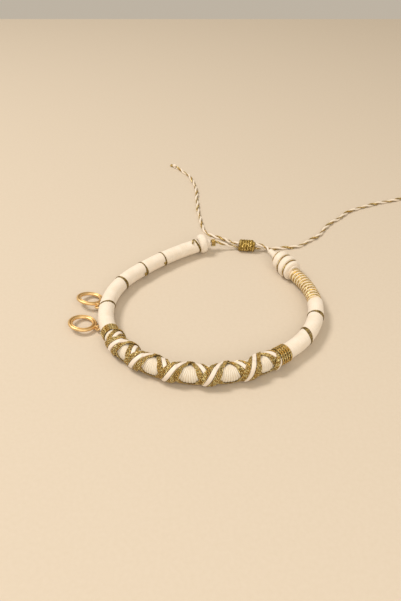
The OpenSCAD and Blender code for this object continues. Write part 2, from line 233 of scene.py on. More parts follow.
@dataclass(frozen=True)
class MetallicThread(Finish):
    """Metallised film thread over a dark yarn: an olive-gold glitter of tiny facets, some with painted
    glints, dark in its grooves partly from the yarn and partly as painted shade.
    """

    name: str = "metallic_thread"
    dark: str = "#523b10"
    middle: str = "#e8b95c"
    # The colour of the painted glints on a share of the facets.
    bright: str = "#fff0b0"
    metallic: float = 0.65
    # The facets of the film are about 0.2 mm long; they are drawn 0.4 mm so that they show.
    facet_mm: float = 0.4
    # How far a facet leans from the thread's surface, as a share of the normal.
    tilt: float = 1.1
    # The yarn's dye and wear differ over lengths of about this size.
    cloud_mm: float = 1.8
    # How dark the grooves get: partly the dark yarn showing, partly painted shade where threads touch.
    groove_tone: float = 0.85

    def sockets(self, tree: bpy.types.NodeTree, place: bpy.types.NodeSocket) -> dict[str, Any]:
        """Draws facets that each lean and shine in their own way, with painted glints on some, over a clouded
        ground and grooves darkened partly by the dark yarn and partly as painted shade.
        """
        film = {"Vector": place, "Scale": 1 / self.facet_mm, "Randomness": 1.0}
        cells = add(tree, "TexVoronoi", film, "Color", voronoi_dimensions="2D")
        facet = add(tree, "SeparateColor", {0: cells})
        cloud = add(tree, "TexNoise", {"Vector": place, "Scale": 1 / self.cloud_mm, "Detail": 2.0}, "Fac")
        worn = {"Value": cloud, "From Min": 0.3, "From Max": 0.7, "To Min": 0.35, "To Max": 1.0}
        base = add(tree, "MapRange", worn)
        # Painted glint: a share of the facets takes the bright colour.
        painted_glint = add(tree, "MapRange", {"Value": facet, "From Min": 0.52, "From Max": 0.78, "To Max": 1.0})
        # The groove darkens towards the dark colour: the dark yarn showing, and painted shade.
        groove = add(tree, "Attribute", {}, "Fac", attribute_name="groove")
        deep = add(tree, "Math", {0: groove, 1: self.groove_tone}, operation="MULTIPLY", use_clamp=True)
        colour = linear(self.dark)
        for share, over in ((base, self.middle), (painted_glint, self.bright), (deep, self.dark)):
            colour = add(tree, "Mix", {"Factor": share, 6: colour, 7: linear(over)}, 2, data_type="RGBA")
        gloss = {"Value": facet.node.outputs[1], "To Min": 0.3, "To Max": 0.58}
        spread = {0: cells, 1: (self.tilt,) * 3, 2: (-self.tilt / 2,) * 3}
        lean = add(tree, "VectorMath", spread, operation="MULTIPLY_ADD")
        normal = add(tree, "NewGeometry", {}, "Normal")
        leaning = add(tree, "VectorMath", {0: normal, 1: lean}, operation="ADD")
        return {
            "Base Color": colour,
            "Normal": add(tree, "VectorMath", {0: leaning}, operation="NORMALIZE"),
            "Roughness": add(tree, "MapRange", gloss),
            "Metallic": self.metallic,
        }


@dataclass(frozen=True)
class PolishedBrass(Finish):
    """Gold-plated brass wire, drawn and polished: warm gloss, lines along it, and painted shade in its
    groove.
    """

    name: str = "polished_brass"
    colour: str = "#f0d199"
    warm: str = "#dfb67a"
    # Painted shade colour for the groove along each flat side.
    groove_shade: str = "#ad864c"
    # Drawing lines are hundredths of a millimetre; they are drawn 0.08 mm apart and 4 mm long.
    line_mm: float = 0.08
    line_long_mm: float = 4.0
    # The plating's tone drifts over lengths of about this size.
    cloud_mm: float = 2.5
    bump_mm: float = 0.01

    def sockets(self, tree: bpy.types.NodeTree, place: bpy.types.NodeSocket) -> dict[str, Any]:
        """Draws lines along the wire, warmer tones, and painted shade in the groove."""
        scale = (1 / self.line_long_mm, 1 / self.line_mm, 1)
        lengthwise = add(tree, "Mapping", {"Vector": place, "Scale": scale})
        lines = add(tree, "TexNoise", {"Vector": lengthwise, "Scale": 1.0, "Detail": 2.0}, "Fac")
        cloud = add(tree, "TexNoise", {"Vector": place, "Scale": 1 / self.cloud_mm, "Detail": 2.0}, "Fac")
        tone = add(tree, "MapRange", {"Value": cloud, "From Min": 0.35, "From Max": 0.7, "To Max": 0.6})
        groove = add(tree, "Attribute", {}, "Fac", attribute_name="groove")
        colour = linear(self.colour)
        for share, over in ((tone, self.warm), (groove, self.groove_shade)):
            colour = add(tree, "Mix", {"Factor": share, 6: colour, 7: linear(over)}, 2, data_type="RGBA")
        gloss = {"Value": lines, "From Min": 0.3, "From Max": 0.7, "To Min": 0.4, "To Max": 0.56}
        return {
            "Base Color": colour,
            "Normal": add(tree, "Bump", {"Height": lines, "Strength": 0.12, "Distance": self.bump_mm * MM}),
            "Roughness": add(tree, "MapRange", gloss),
            "Metallic": 1.0,
        }


@dataclass(frozen=True)
class CoreRope(Finish):
    """Cotton rope, undyed and loosely laid, hidden under the windings: matt, with slanting plies."""

    name: str = "core_cotton"
    ruler: Ruler = Ruler.FRAME
    light: str = "#e9dfd0"
    shade: str = "#bfae93"
    ply_mm: float = 1.4
    slant: tuple[float, float, float] = (0.6, 0.4, 0.7)

    def sockets(self, tree: bpy.types.NodeTree, place: bpy.types.NodeSocket) -> dict[str, Any]:
        """Draws the plies as slanting ridges."""
        slanted = add(tree, "Mapping", {"Vector": place, "Rotation": self.slant})
        lines = {"Vector": slanted, "Scale": WAVE_STEP / (self.ply_mm * MM), "Distortion": 2.0}
        plies = add(tree, "TexWave", lines, "Fac")
        colours = {"Factor": plies, 6: linear(self.shade), 7: linear(self.light)}
        return {
            "Base Color": add(tree, "Mix", colours, 2, data_type="RGBA"),
            "Normal": add(tree, "Bump", {"Height": plies, "Strength": 0.8, "Distance": 0.1 * MM}),
            "Roughness": 0.9,
        }


@dataclass(frozen=True)
class PaleBoard(Finish):
    """A plain, matt, warm pale board to stand on, with a barely seen tooth."""

    name: str = "pale_board"
    ruler: Ruler = Ruler.FRAME
    light: str = "#d6cbbb"
    shade: str = "#d0c4b2"
    tooth_mm: float = 1.2

    def sockets(self, tree: bpy.types.NodeTree, place: bpy.types.NodeSocket) -> dict[str, Any]:
        """Draws the tooth."""
        grain = {"Vector": place, "Scale": 1 / (self.tooth_mm * MM), "Detail": 3.0}
        tooth = add(tree, "TexNoise", grain, "Fac")
        colours = {"Factor": tooth, 6: linear(self.light), 7: linear(self.shade)}
        return {"Base Color": add(tree, "Mix", colours, 2, data_type="RGBA"), "Roughness": 0.85}


@dataclass(frozen=True)
class Finishes:
    """The finishes of the anklet, each built once."""

    white: bpy.types.Material
    beige: bpy.types.Material
    ribbed: bpy.types.Material
    ribbon: bpy.types.Material
    gold: bpy.types.Material
    old_gold: bpy.types.Material
    dark_gold: bpy.types.Material
    brass: bpy.types.Material
    core: bpy.types.Material

    @classmethod
    def made(cls) -> Finishes:
        """Builds every finish from its own class."""
        satin = CottonThread(
            name="satin_ribbon",
            light="#f1e7dc",
            shade="#dcc8ac",
            roughness=0.45,
            sheen=0.4,
            fibre_mm=0.16,
            fibre_long_mm=2.6,
            twist_mm=0.3,
            bump_mm=0.02,
        )
        antique = MetallicThread(
            name="antique_metallic_cord", dark="#57410f", middle="#b0903c", bright="#f2d687"
        )
        # The loops take this darker copy of the gold: painted shade of the grooves between the wraps that
        # they lie in.
        groove_shade = MetallicThread(name="shaded_metallic_thread", dark="#3c2d0e", middle="#94793a", bright="#d8bd78")
        return cls(
            white=CottonThread().material(),
            # The striped turns' white thread is coloured beige as painted shade and painted reflection of the
            # gold turns beside it.
            beige=CottonThread(name="beige_cotton", light="#f5e5ca", shade="#d4b88c").material(),
            # Painted shade: the ribbed wrap's grooves are darkened half way to the shade colour.
            ribbed=CottonThread(name="ribbed_cotton", light="#ebe6da", groove_tone=0.5).material(),
            ribbon=satin.material(),
            gold=MetallicThread().material(),
            old_gold=antique.material(),
            dark_gold=groove_shade.material(),
            brass=PolishedBrass().material(),
            core=CoreRope().material(),
        )


# Curves and profiles


def unit(vectors: Array) -> Array:
    """Each vector of an array divided by its length."""
    return vectors / np.maximum(np.linalg.norm(vectors, axis=-1, keepdims=True), 1e-12)


def lengths(points: Array) -> Array:
    """The length along a chain of points up to each of them."""
    return np.concatenate([[0], np.cumsum(np.linalg.norm(np.diff(points, axis=0), axis=1))])


def ridge(phase: Array) -> Array:
    """The round back of a thread: a half circle over each whole step of the phase, 0 at its edges."""
    across = 2 * (phase - np.floor(phase)) - 1
    return np.sqrt(np.maximum(1 - across * across, 0))


def ease(x: Array) -> Array:
    """Smooth step: t * t * (3 - 2t), with t = x kept from 0 to 1."""
    t = np.clip(x, 0, 1)
    return t * t * (3 - 2 * t)


def plateau(x: Array, start: float, rise: float, end: float, fall: float) -> Array:
    """A smooth hill: 0 up to start, 1 from start + rise to end - fall, and 0 again after end."""
    return ease((x - start) / rise) * ease((end - x) / fall)


def signed(degrees: Array, top: float = 180) -> Array:
    """Angles in degrees, brought to between top - 360 and top."""
    return (degrees - top) % 360 + top - 360


def catmull_rom(a: Array, b: Array, c: Array, d: Array, t: Array) -> Array:
    """The smooth cubic from b, at t = 0, to c, at t = 1, whose neighbours are a and d."""
    square, cube = 2 * a - 5 * b + 4 * c - d, 3 * b - a - 3 * c + d
    return 0.5 * (2 * b + (c - a) * t + square * t**2 + cube * t**3)


def resampled(points: Array, step: float, dense: int = 24) -> Array:
    """A smooth curve through points, with even steps.

    Between two points it is the Catmull-Rom cubic, which is then read off again at equal lengths.

    Args:
        points: the points to pass through, n x 3.
        step: the distance between the new points.
        dense: at how many places the cubic between two points is worked out.

    Returns:
        The new points, m x 3.
    """
    ends = np.vstack([2 * points[0] - points[1], points, 2 * points[-1] - points[-2]])
    t = (np.arange(dense) / dense)[None, :, None]
    cubic = catmull_rom(*(ends[k : k + len(points) - 1, None, :] for k in range(4)), t)
    curve = np.vstack([cubic.reshape(-1, 3), points[-1:]])
    far = lengths(curve)
    at = np.linspace(0, far[-1], max(3, round(far[-1] / step) + 1))
    return np.stack([np.interp(at, far, curve[:, k]) for k in range(3)], axis=1)


def sleeve(s0: float, s1: float, radius: float, chamfer: tuple[float, float]) -> Outline:
    """The outline of a sleeve from s0 to s1, drawn in at both ends by a chamfer's length and depth."""
    long, deep = chamfer
    return ((s0, radius - deep), (s0 + long, radius), (s1 - long, radius), (s1, radius - deep))


# Meshes


@dataclass
class Patch:
    """A grid of points of one surface, rows by columns.

    Attributes:
        points: rows x columns x 3, in millimetres.
        uv: rows x columns x 2, in millimetres along the surface.
        groove: rows x columns, 0 on a thread's crest and 1 in the groove beside it; the finishes paint it as
            shade.
        finish: the number of the piece's material that it takes.
    """

    points: Array
    uv: Array
    groove: Array
    finish: int = 0

    def quads(self) -> Array:
        """Joins neighbouring points into four-cornered faces that point outwards.

        The sign of the enclosed volume, the sum of a . (b x c) / 6 over the triangles measured from the
        grid's middle, tells whether the order of the corners has to be turned round.

        Returns:
            Faces x 4 point numbers.
        """
        rows, columns = self.points.shape[:2]
        first = (np.arange(rows - 1)[:, None] * columns + np.arange(columns - 1)).ravel()
        quads = np.stack([first, first + columns, first + columns + 1, first + 1], axis=1)
        flat = self.points.reshape(-1, 3) - self.points.reshape(-1, 3).mean(axis=0)
        a, b, c, d = (flat[quads[:, k]] for k in range(4))
        volume = np.einsum("ij,ij->", a, np.cross(b, c)) + np.einsum("ij,ij->", a, np.cross(c, d))
        return quads if volume > 0 else quads[:, ::-1]


def piece(
    node: str, part: str, slot: Slot, patches: Sequence[Patch], *materials: bpy.types.Material
) -> bpy.types.Object:
    """Makes the piece that stands for a CAD node from its grids, and gives it its place in the frame.

    Args:
        node: the CAD node. The piece's name is the node's, with the part's word after it.
        part: that word.
        slot: the record's material slot; not used.
        patches: its surfaces.
        materials: its materials, in the order that the patches number them.

    Returns:
        The Blender object, at the origin, riding on the part's one body.
    """
    name = f"{node}_{part}"
    starts = np.cumsum([0] + [p.groove.size for p in patches])
    quads = [p.quads() + start for p, start in zip(patches, starts)]
    points = np.concatenate([p.points.reshape(-1, 3) for p in patches]) * MM
    uv = np.concatenate([p.uv.reshape(-1, 2) for p in patches])
    groove = np.concatenate([p.groove.ravel() for p in patches])
    finish = np.concatenate([np.full(len(q), p.finish) for q, p in zip(quads, patches)])
    faces = np.concatenate(quads)

    mesh = bpy.data.meshes.new(name)
    mesh.from_pydata(points, [], faces)
    mesh.uv_layers.new(name="thread").data.foreach_set("uv", uv[faces.ravel()].astype(np.float32).ravel())
    # The groove attribute carries the painted shade that the finishes read.
    mesh.attributes.new("groove", "FLOAT", "POINT").data.foreach_set("value", groove.astype(np.float32))
    mesh.polygons.foreach_set("material_index", finish.astype(np.int32))
    mesh.polygons.foreach_set("use_smooth", np.ones(len(faces), bool))
    for material in materials:
        mesh.materials.append(material)
    closed = bmesh.new()
    closed.from_mesh(mesh)
    bmesh.ops.remove_doubles(closed, verts=closed.verts, dist=MERGE_WITHIN)
    closed.to_mesh(mesh)
    closed.free()
    mesh.update()

    made = bpy.data.objects.new(name, mesh)
    bpy.context.scene.collection.objects.link(made)
    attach(made, "root")
    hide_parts(node)
    LOG.info("%s: %d faces, for %s", name, len(mesh.polygons), node)
    return made


# Axes


class Axis:
    """A line that threads are wound round. Each kind of axis has its own basis."""

    def basis(self, s: Array) -> tuple[Array, Array, Array]:
        """The axis's points at lengths s, and two directions across it there, level and rising."""
        raise NotImplementedError

    def radial(self, s: Array, angle: Array) -> Array:
        """The direction away from the axis: cos angle * level + sin angle * rising."""
        s, angle = np.broadcast_arrays(np.asarray(s, float), np.asarray(angle, float))
        _, level, rising = self.basis(s)
        return np.cos(angle)[..., None] * level + np.sin(angle)[..., None] * rising

    def place(self, s: Array, angle: Array, r: Array) -> Array:
        """Points round the axis: its point at s, plus r times the direction away from it at the angle.

        Args:
            s: lengths along it.
            angle: angles from level towards rising, in radians.
            r: distances from it.

        Returns:
            The points, (..., 3).
        """
        s, angle, r = np.broadcast_arrays(*(np.asarray(v, float) for v in (s, angle, r)))
        return self.basis(s)[0] + r[..., None] * self.radial(s, angle)


@dataclass(frozen=True)
class StraightLine(Axis):
    """A straight line, for what is wound round a cord and for the band's stiff ends."""

    origin: Array
    onward: Array

    def basis(self, s: Array) -> tuple[Array, Array, Array]:
        """The line's points at lengths s, with a level direction and one as near to up as it can be."""
        level = unit(np.cross(self.onward, UP))
        return self.origin + s[..., None] * self.onward, level, np.cross(level, self.onward)


@dataclass(frozen=True)
class BandAxis(Axis):
    """The band's axis: a chain of level arcs, measured along it from the left tip."""

    start: tuple[float, float] = (7.74, 40.59)
    turn: float = 187.46
    # Each arc's length and radius.
    arcs: Outline = ((9, 22), (32, 95), (50, 33.5), (45, 36.5), (16, 57), (43, 33.5), (22.5, 600))
    height: float = 3.85

    def tables(self) -> tuple[Array, Array, Array, Array]:
        """Works out each arc's start: its length from the tip, heading, point and radius."""
        long, radius = np.array(self.arcs).T
        begin = np.concatenate([[0], np.cumsum(long)[:-1]])
        heading = np.radians(self.turn) + np.concatenate([[0], np.cumsum(long / radius)])
        steps = radius * np.stack([np.diff(np.sin(heading)), -np.diff(np.cos(heading))])
        points = np.array(self.start) + np.vstack([[0, 0], np.cumsum(steps.T, axis=0)[:-1]])
        return begin, heading[:-1], points, radius

    def frame(self, s: Array) -> tuple[Array, Array, Array]:
        """The axis at lengths s.

        On an arc of radius R that starts at heading b, the heading at s is a = b + (s - start) / R and
        the point is start + R * (sin a - sin b, cos b - cos a).

        Args:
            s: lengths from the left tip.

        Returns:
            The points, the directions onward and the directions outward of the ring, each (..., 3).
        """
        begin, heading, points, radius = self.tables()
        k = np.clip(np.searchsorted(begin, s, side="right") - 1, 0, len(begin) - 1)
        a, b = heading[k] + (s - begin[k]) / radius[k], heading[k]
        x = points[k, 0] + radius[k] * (np.sin(a) - np.sin(b))
        y = points[k, 1] + radius[k] * (np.cos(b) - np.cos(a))
        zero = np.zeros_like(x)
        middle = np.stack([x, y, zero + self.height], axis=-1)
        onward = np.stack([np.cos(a), np.sin(a), zero], axis=-1)
        outward = np.stack([np.sin(a), -np.cos(a), zero], axis=-1)
        return middle, onward, outward

    def basis(self, s: Array) -> tuple[Array, Array, Array]:
        """The axis's points at lengths s, with outward of the ring as level and up as rising."""
        middle, _, outward = self.frame(s)
        return middle, outward, UP

    def straight(self, at: float, rise: float = 0.0) -> StraightLine:
        """The line that touches the axis at one length, lifted a little, with lengths as on the axis."""
        middle, onward, _ = self.frame(np.array(at))
        return StraightLine(middle + rise * UP - at * onward, onward)


# Threads and windings


@dataclass(frozen=True)
class Thread:
    """A twisted thread.

    Attributes:
        lobes: how many plies show.
        lay: the length of a whole turn of a ply.
        bite: the depth of the grooves between plies, as a share of the radius.
        around: points round the section.
    """

    lobes: int
    lay: float
    bite: float
    around: int = 10

    def along(
        self,
        path: Array,
        normal: Array,
        radius: float | Array,
        twist: Twist = Twist.Z,
        flat: float | Array = 1.0,
        finish: int = 0,
    ) -> Patch:
        """The thread laid along a path, and closed into a ring where the path ends at its start.

        At a length l the section is radius * (1 - bite + bite * |cos(lobes / 2 * (angle - turn * l / lay))|),
        so that it has as many round plies as lobes, which turn once in each lay. Open ends are domed. The
        groove, which the finishes paint as shade, is darker the deeper the bite, up to a bite of 0.4, and
        grows to the two sides, where neighbours touch, by 0.9 times the fourth power of the angle's sine.

        Args:
            path: the thread's middle line, n x 3.
            normal: a direction across the path at each point, n x 3.
            radius: the thread's radius, one number or one for each point.
            twist: the way the plies turn.
            flat: the thread's height along the normal, as a share of its width.
            finish: the material's number.

        Returns:
            The surface.
        """
        far = lengths(path)
        size = np.broadcast_to(np.asarray(radius, float), far.shape)
        if np.allclose(path[0], path[-1]):
            tangent = unit(np.vstack([path[1:], path[1:2]]) - np.vstack([path[-2:-1], path[:-1]]))
            turns = far / far[-1] * max(1, round(far[-1] / self.lay * self.lobes)) / self.lobes
            dome = np.ones_like(far)
        else:
            tangent = unit(np.gradient(path, axis=0))
            turns = far / self.lay
            inset = np.minimum(np.minimum(far, far[-1] - far) / np.maximum(size, 1e-6), 1)
            dome = np.sqrt(np.maximum(1 - (1 - inset) ** 2, 0))
        side = unit(np.cross(tangent, normal))
        up = np.cross(side, tangent)
        angle = np.linspace(0, math.tau, self.around + 1)
        turned = angle[None, :] - twist.value * math.tau * turns[:, None]
        lobe = np.abs(np.cos(self.lobes / 2 * turned))
        reach = (size * dome)[:, None] * (1 - self.bite + self.bite * lobe)
        squash = np.broadcast_to(np.asarray(flat, float), far.shape)[:, None]
        rising = (reach * np.cos(angle) * squash)[..., None] * up[:, None, :]
        points = path[:, None, :] + rising + (reach * np.sin(angle))[..., None] * side[:, None, :]
        across = angle[None, :] * size[:, None]
        uv = np.stack([np.broadcast_to(far[:, None], across.shape), across], axis=-1)
        # Painted shade: the groove value darkens the plies' valleys and the sides where neighbours touch.
        clear = 1 - min(1.0, self.bite / 0.4) * (1 - lobe)
        return Patch(points, uv, 1 - clear * (1 - 0.9 * np.sin(angle) ** 4), finish)

    def wound(
        self,
        axis: Axis,
        s: float | Array,
        angle: Array,
        r: float | Array,
        radius: float | Array,
        twist: Twist = Twist.Z,
        flat: float | Array = 1.0,
    ) -> Patch:
        """The thread laid round an axis, through its points at lengths s, angles and distances r."""
        return self.along(axis.place(s, angle, r), axis.radial(s, angle), radius, twist, flat)


@dataclass(frozen=True)
class Winding:
    """A surface of thread turns wound side by side over a profile.

    Attributes:
        axis: what it is wound round.
        profile: points (length along the axis, radius), from the left end to the right.
        pitch: the distance between turns.
        depth: how deep the grooves between turns are.
        bore: the radius inside, where the wound part is hollow.
        bore_step: the distance between the points inside.
        around: points round the axis.
        steps: points across each turn.
        uneven: how far turns stray from even spacing.
        shift: moves a point along the axis by an amount that depends on its length, angle and radius.
        swell: adds to a point's radius by an amount that depends on its length and angle.
    """

    axis: Axis
    profile: Outline
    pitch: float = 0.5
    depth: float = 0.06
    bore: float = 1.9
    bore_step: float = 1.5
    around: int = 72
    steps: int = 6
    uneven: float = 0.02
    shift: Callable[[Array, Array, Array], Array] | None = None
    swell: Callable[[Array, Array], Array] | None = None

    def patch(self) -> Patch:
        """The wound surface.

        The place on the profile at row i and column j is (i / steps + j / around - 1) * pitch, kept
        within the profile, so each turn climbs one pitch and the last column meets the first one turn
        on. The surface stands off the profile, along its normal, by depth * (ridge(turns) - 1). Turn
        number n strays along the axis by uneven * sin(2.3 n + 1.7 sin(3 angle + n)), and less at the two
        ends. The end rows go down to the bore and back through it. The groove is 1 - ridge(turns), and 1
        on the end rows; the finishes paint it as shade between turns and at the ends.
        """
        shape = np.array(self.profile, float)
        long = lengths(shape)
        turns = max(1, round(long[-1] / self.pitch))
        pitch = long[-1] / turns
        row = np.arange(self.steps * (turns + 1) + 1)[:, None] / self.steps
        column = np.arange(self.around + 1)[None, :] / self.around
        t = np.clip((row + column - 1) * pitch, 0, long[-1])
        angle = np.broadcast_to(column * math.tau, t.shape)
        phase = t / pitch - column
        height, number = ridge(phase), np.floor(phase)
        stray = self.uneven * np.sin(2.3 * number + 1.7 * np.sin(3 * angle + number))
        fade = np.clip(np.minimum(t, long[-1] - t) / pitch, 0, 1)
        slope = np.gradient(shape, long, axis=0)
        z, r = (np.interp(t, long, shape[:, k]) for k in range(2))
        dz, dr = (np.interp(t, long, slope[:, k]) for k in range(2))
        off = self.depth * (height - 1) / np.maximum(np.hypot(dz, dr), 1e-9)
        z, r = z - off * dr + stray * fade * height, r + off * dz
        if self.shift is not None:
            z = z + self.shift(z, angle, r)
        if self.swell is not None:
            r = r + self.swell(z, angle)
        uv = np.stack([t, angle * shape[:, 1].max()], axis=-1)
        # Painted shade: the groove is darkest between turns.
        groove = 1 - height
        if self.bore > 0:
            first, last = shape[0, 0], shape[-1, 0]
            inner = np.linspace(last, first, max(3, int(abs(last - first) / self.bore_step)))[:, None]
            through = inner + 0 * column
            z = np.vstack([z, through, z[:1]])
            r = np.vstack([r, self.bore + 0 * through, r[:1]])
            extra = len(inner) + 1
            angle = np.vstack([angle, np.repeat(angle[:1], extra, axis=0)])
            uv = np.vstack([uv, np.repeat(uv[-1:], extra, axis=0)])
            # The end rows and the bore are given full painted shade.
            groove = np.vstack([groove, np.ones((extra, self.around + 1))])
        return Patch(self.axis.place(z, angle, np.maximum(r, 0)), uv, groove)


# The camera and the light


@dataclass(frozen=True)
class Studio:
    """The camera at the photograph's angle, a pale floor and soft light."""

    aim: tuple[float, float, float] = (1.31, 0.09, 3.85)
    distance: float = 228.0
    elevation: float = 37.0
    sensor: float = 36.0
    # The sensor spans the frame's long side, 601 pixels, and the photograph's focal length is 620 of
    # those pixels.
    focal: float = 620 / 601
    floor_size: float = 900.0
    floor: PaleBoard = PaleBoard()
    # Each lamp's name, place, width, power in watts and colour.
    lamps: tuple[tuple[str, tuple[float, float, float], float, float, str], ...] = (
        ("key_softbox", (-430, 70, 720), 240, 4.25, "#fff7ee"),
        ("fill_softbox", (160, -520, 460), 500, 2.2, "#fff6ea"),
    )
    room_colour: str = "#fff1dc"
    room_strength: float = 0.515

    def camera(self) -> None:
        """Makes the camera and gives it to the scene."""
        data = bpy.data.cameras.new("photo_camera")
        data.lens = self.focal * self.sensor
        data.sensor_width = self.sensor
        data.clip_start, data.clip_end = 0.005, 10.0
        made = bpy.data.objects.new("photo_camera", data)
        tilt = math.radians(self.elevation)
        back = np.array([0.0, -math.cos(tilt), math.sin(tilt)]) * self.distance
        made.location = (np.array(self.aim) + back) * MM
        made.rotation_euler = (math.radians(90 - self.elevation), 0, 0)
        bpy.context.scene.collection.objects.link(made)
        bpy.context.scene.camera = made

    def ground(self) -> None:
        """Lays the floor, a square sheet at height 0."""
        half = self.floor_size / 2 * MM
        mesh = bpy.data.meshes.new("floor")
        corners = np.array([[-half, -half, 0], [half, -half, 0], [half, half, 0], [-half, half, 0]])
        mesh.from_pydata(corners, [], [[0, 1, 2, 3]])
        mesh.materials.append(self.floor.material())
        made = bpy.data.objects.new("floor", mesh)
        bpy.context.scene.collection.objects.link(made)

    def light(self) -> None:
        """Hangs the soft square lamps, which face the anklet, and sets the even light of the room."""
        for name, place, size, power, colour in self.lamps:
            data = bpy.data.lights.new(name, "AREA")
            data.size = size * MM
            data.energy = power
            data.color = linear(colour)[:3]
            made = bpy.data.objects.new(name, data)
            made.location = np.array(place, float) * MM
            x, y, z = place
            made.rotation_euler = (math.atan2(math.hypot(x, y), z), 0, math.atan2(y, x) + math.pi / 2)
            bpy.context.scene.collection.objects.link(made)
        world = bpy.data.worlds.new("room")
        world.use_nodes = True
        tree = world.node_tree
        tree.nodes.clear()
        room = {"Color": linear(self.room_colour), "Strength": self.room_strength}
        add(tree, "OutputWorld", {"Surface": add(tree, "Background", room)})
        bpy.context.scene.world = world
        bpy.context.scene.view_settings.view_transform = "Standard"


# The closing cords


@dataclass(frozen=True)
class ClosingCords:
    """Two cords, each of a white and a metallic strand, that run through the sliding knot."""

    width: float = 1.4
    lay: float = 7.6
    step: float = 0.16
    # How far a ply lies from the cord's middle, as a share of the width.
    apart: float = 0.22
    # The white ply and the metallic one: size as a share of the width, and swell.
    plies: Outline = ((0.31, 0), (0.25, 0.3))
    ply: Thread = Thread(4, 1.3, 0.14, 12)
    # The sliding knot.
    knot_length: float = 7.0
    knot_radius: float = 2.5
    knot_middle: tuple[float, float, float] = (20.8, 40.4, 2.5)
    knot_turn: float = -6.5
    knot_turns: int = 5
    knot_thread: Thread = Thread(4, 2.2, 0.2, 16)
    knot_core: Outline = sleeve(-2.9, 2.9, 1.55, (0.1, 0.65))
    # The knot at each cord's end: how far it lies past the route's end and above it, and its sizes.
    end_knot_at: float = 1.05
    end_knot_rise: float = 0.45
    end_knot_radius: float = 1.15
    end_knot_wire: float = 0.47
    end_knot_thread: Thread = Thread(3, 1.4, 0.16, 12)
    end_knot_heart: Outline = ((-0.7, 0.05), (-0.5, 0.5), (0, 0.7), (0.5, 0.5), (0.7, 0.05))
    # The whipping past it: its place, turns, pitch, radius and half the thread's width.
    tip_at: float = 3.2
    tip_turns: float = 4
    tip_pitch: float = 0.4
    tip_radius: float = 0.46
    tip_wire: float = 0.22
    tip_thread: Thread = Thread(3, 0.9, 0.2, 8)
    tip_core: Outline = ((-0.95, 0.02), (-0.9, 0.3), (0.9, 0.3), (1.0, 0.02))
    left_route: Route = (
        (3.9, 39.7, 3.85), (6.3, 40.3, 3.85), (8.4, 40.7, 3.8), (11, 40.9, 3), (13.6, 41, 2.1),
        (16.2, 40.9, 1.65), (20.8, 40.4, 1.65), (25.4, 39.9, 1.65), (28, 40, 1.2), (31, 40.5, 0.8),
        (34, 41, 0.7), (37.5, 41.5, 0.7), (40.5, 42, 0.7), (43.5, 43, 0.7), (46, 45, 0.7),
        (48.5, 47.5, 0.7), (51.5, 50, 0.7), (54, 53, 0.7), (56, 56.5, 0.7), (58.5, 60.5, 0.7),
        (61.5, 64, 0.7), (64.5, 66.5, 0.7), (67, 69.5, 0.7), (69.5, 72.5, 0.7), (72.5, 74.5, 0.7),
        (76, 76.5, 0.7), (80, 78.5, 0.7), (84, 80.5, 0.7), (87.5, 82, 0.7), (91, 83, 0.7),
        (95, 84.5, 0.7), (98, 86, 0.7), (101.5, 88.5, 0.7),
    )  # fmt: skip
    right_route: Route = (
        (32.2, 28.5, 4.3), (30.3, 32.1, 4.3), (29.6, 33.5, 4.3), (28.9, 35.6, 4), (27.6, 38.3, 3.6),
        (25.4, 39.9, 3.35), (20.8, 40.4, 3.35), (16.2, 40.9, 3.35), (13.9, 43.5, 2.6), (12.2, 46.5, 1.6),
        (10, 49, 0.9), (7, 51, 0.7), (4.5, 53, 0.7), (3, 56, 0.7), (2, 60, 0.7),
        (1.5, 63.5, 0.7), (1, 67.5, 0.7), (0.5, 71.5, 0.7), (0, 75.5, 0.7), (0, 79.5, 0.7),
        (-0.5, 84, 0.7), (-0.5, 88, 0.7), (-0.5, 92, 0.7), (-1, 96, 0.7), (-1.5, 100, 0.7),
        (-2.5, 104, 0.7), (-3.5, 107.5, 0.7), (-5, 111.5, 0.7), (-7.5, 115, 0.7), (-9.5, 118.5, 0.7),
        (-11.5, 120.5, 0.7),
    )  # fmt: skip

    def plied(self, path: Array) -> list[Patch]:
        """Twists the plies about a path.

        Ply number k of n lies off the path at the angle tau * (l / lay + k / n). Its radius is
        size * width * (1 + swell * sin(pi * l / lay)), so that it is thicker on every other turn.

        Args:
            path: the cord's middle line.

        Returns:
            One surface for each ply.
        """
        tangent = unit(np.gradient(path, axis=0))
        side = unit(np.cross(tangent, UP))
        up = np.cross(side, tangent)
        turns = lengths(path) / self.lay
        made = []
        for k, (size, swell) in enumerate(self.plies):
            angle = (math.tau * (turns + k / len(self.plies)))[:, None]
            away = np.cos(angle) * up + np.sin(angle) * side
            radius = size * self.width * (1 + swell * np.sin(math.pi * turns))
            made.append(self.ply.along(path + self.apart * self.width * away, away, radius, finish=k))
        return made

    def cord(self, side: str, route: Array, looks: Finishes) -> None:
        """Args:
            side: "left" or "right", the end of the band that it leaves.
            route: the points that it passes through.
            looks: the finishes.
        """
        path = resampled(route, self.step)
        cord = piece(f"{side}_cord", "twist", Slot.CORD, self.plied(path), looks.white, looks.gold)
        onward = unit(route[-1] - route[-2])
        middle = route[-1] + self.end_knot_at * onward + self.end_knot_rise * UP
        tied = self.end_knot(side, middle, onward, looks)
        tip = self.whipping(side, route[-1] + self.tip_at * onward, onward, looks)

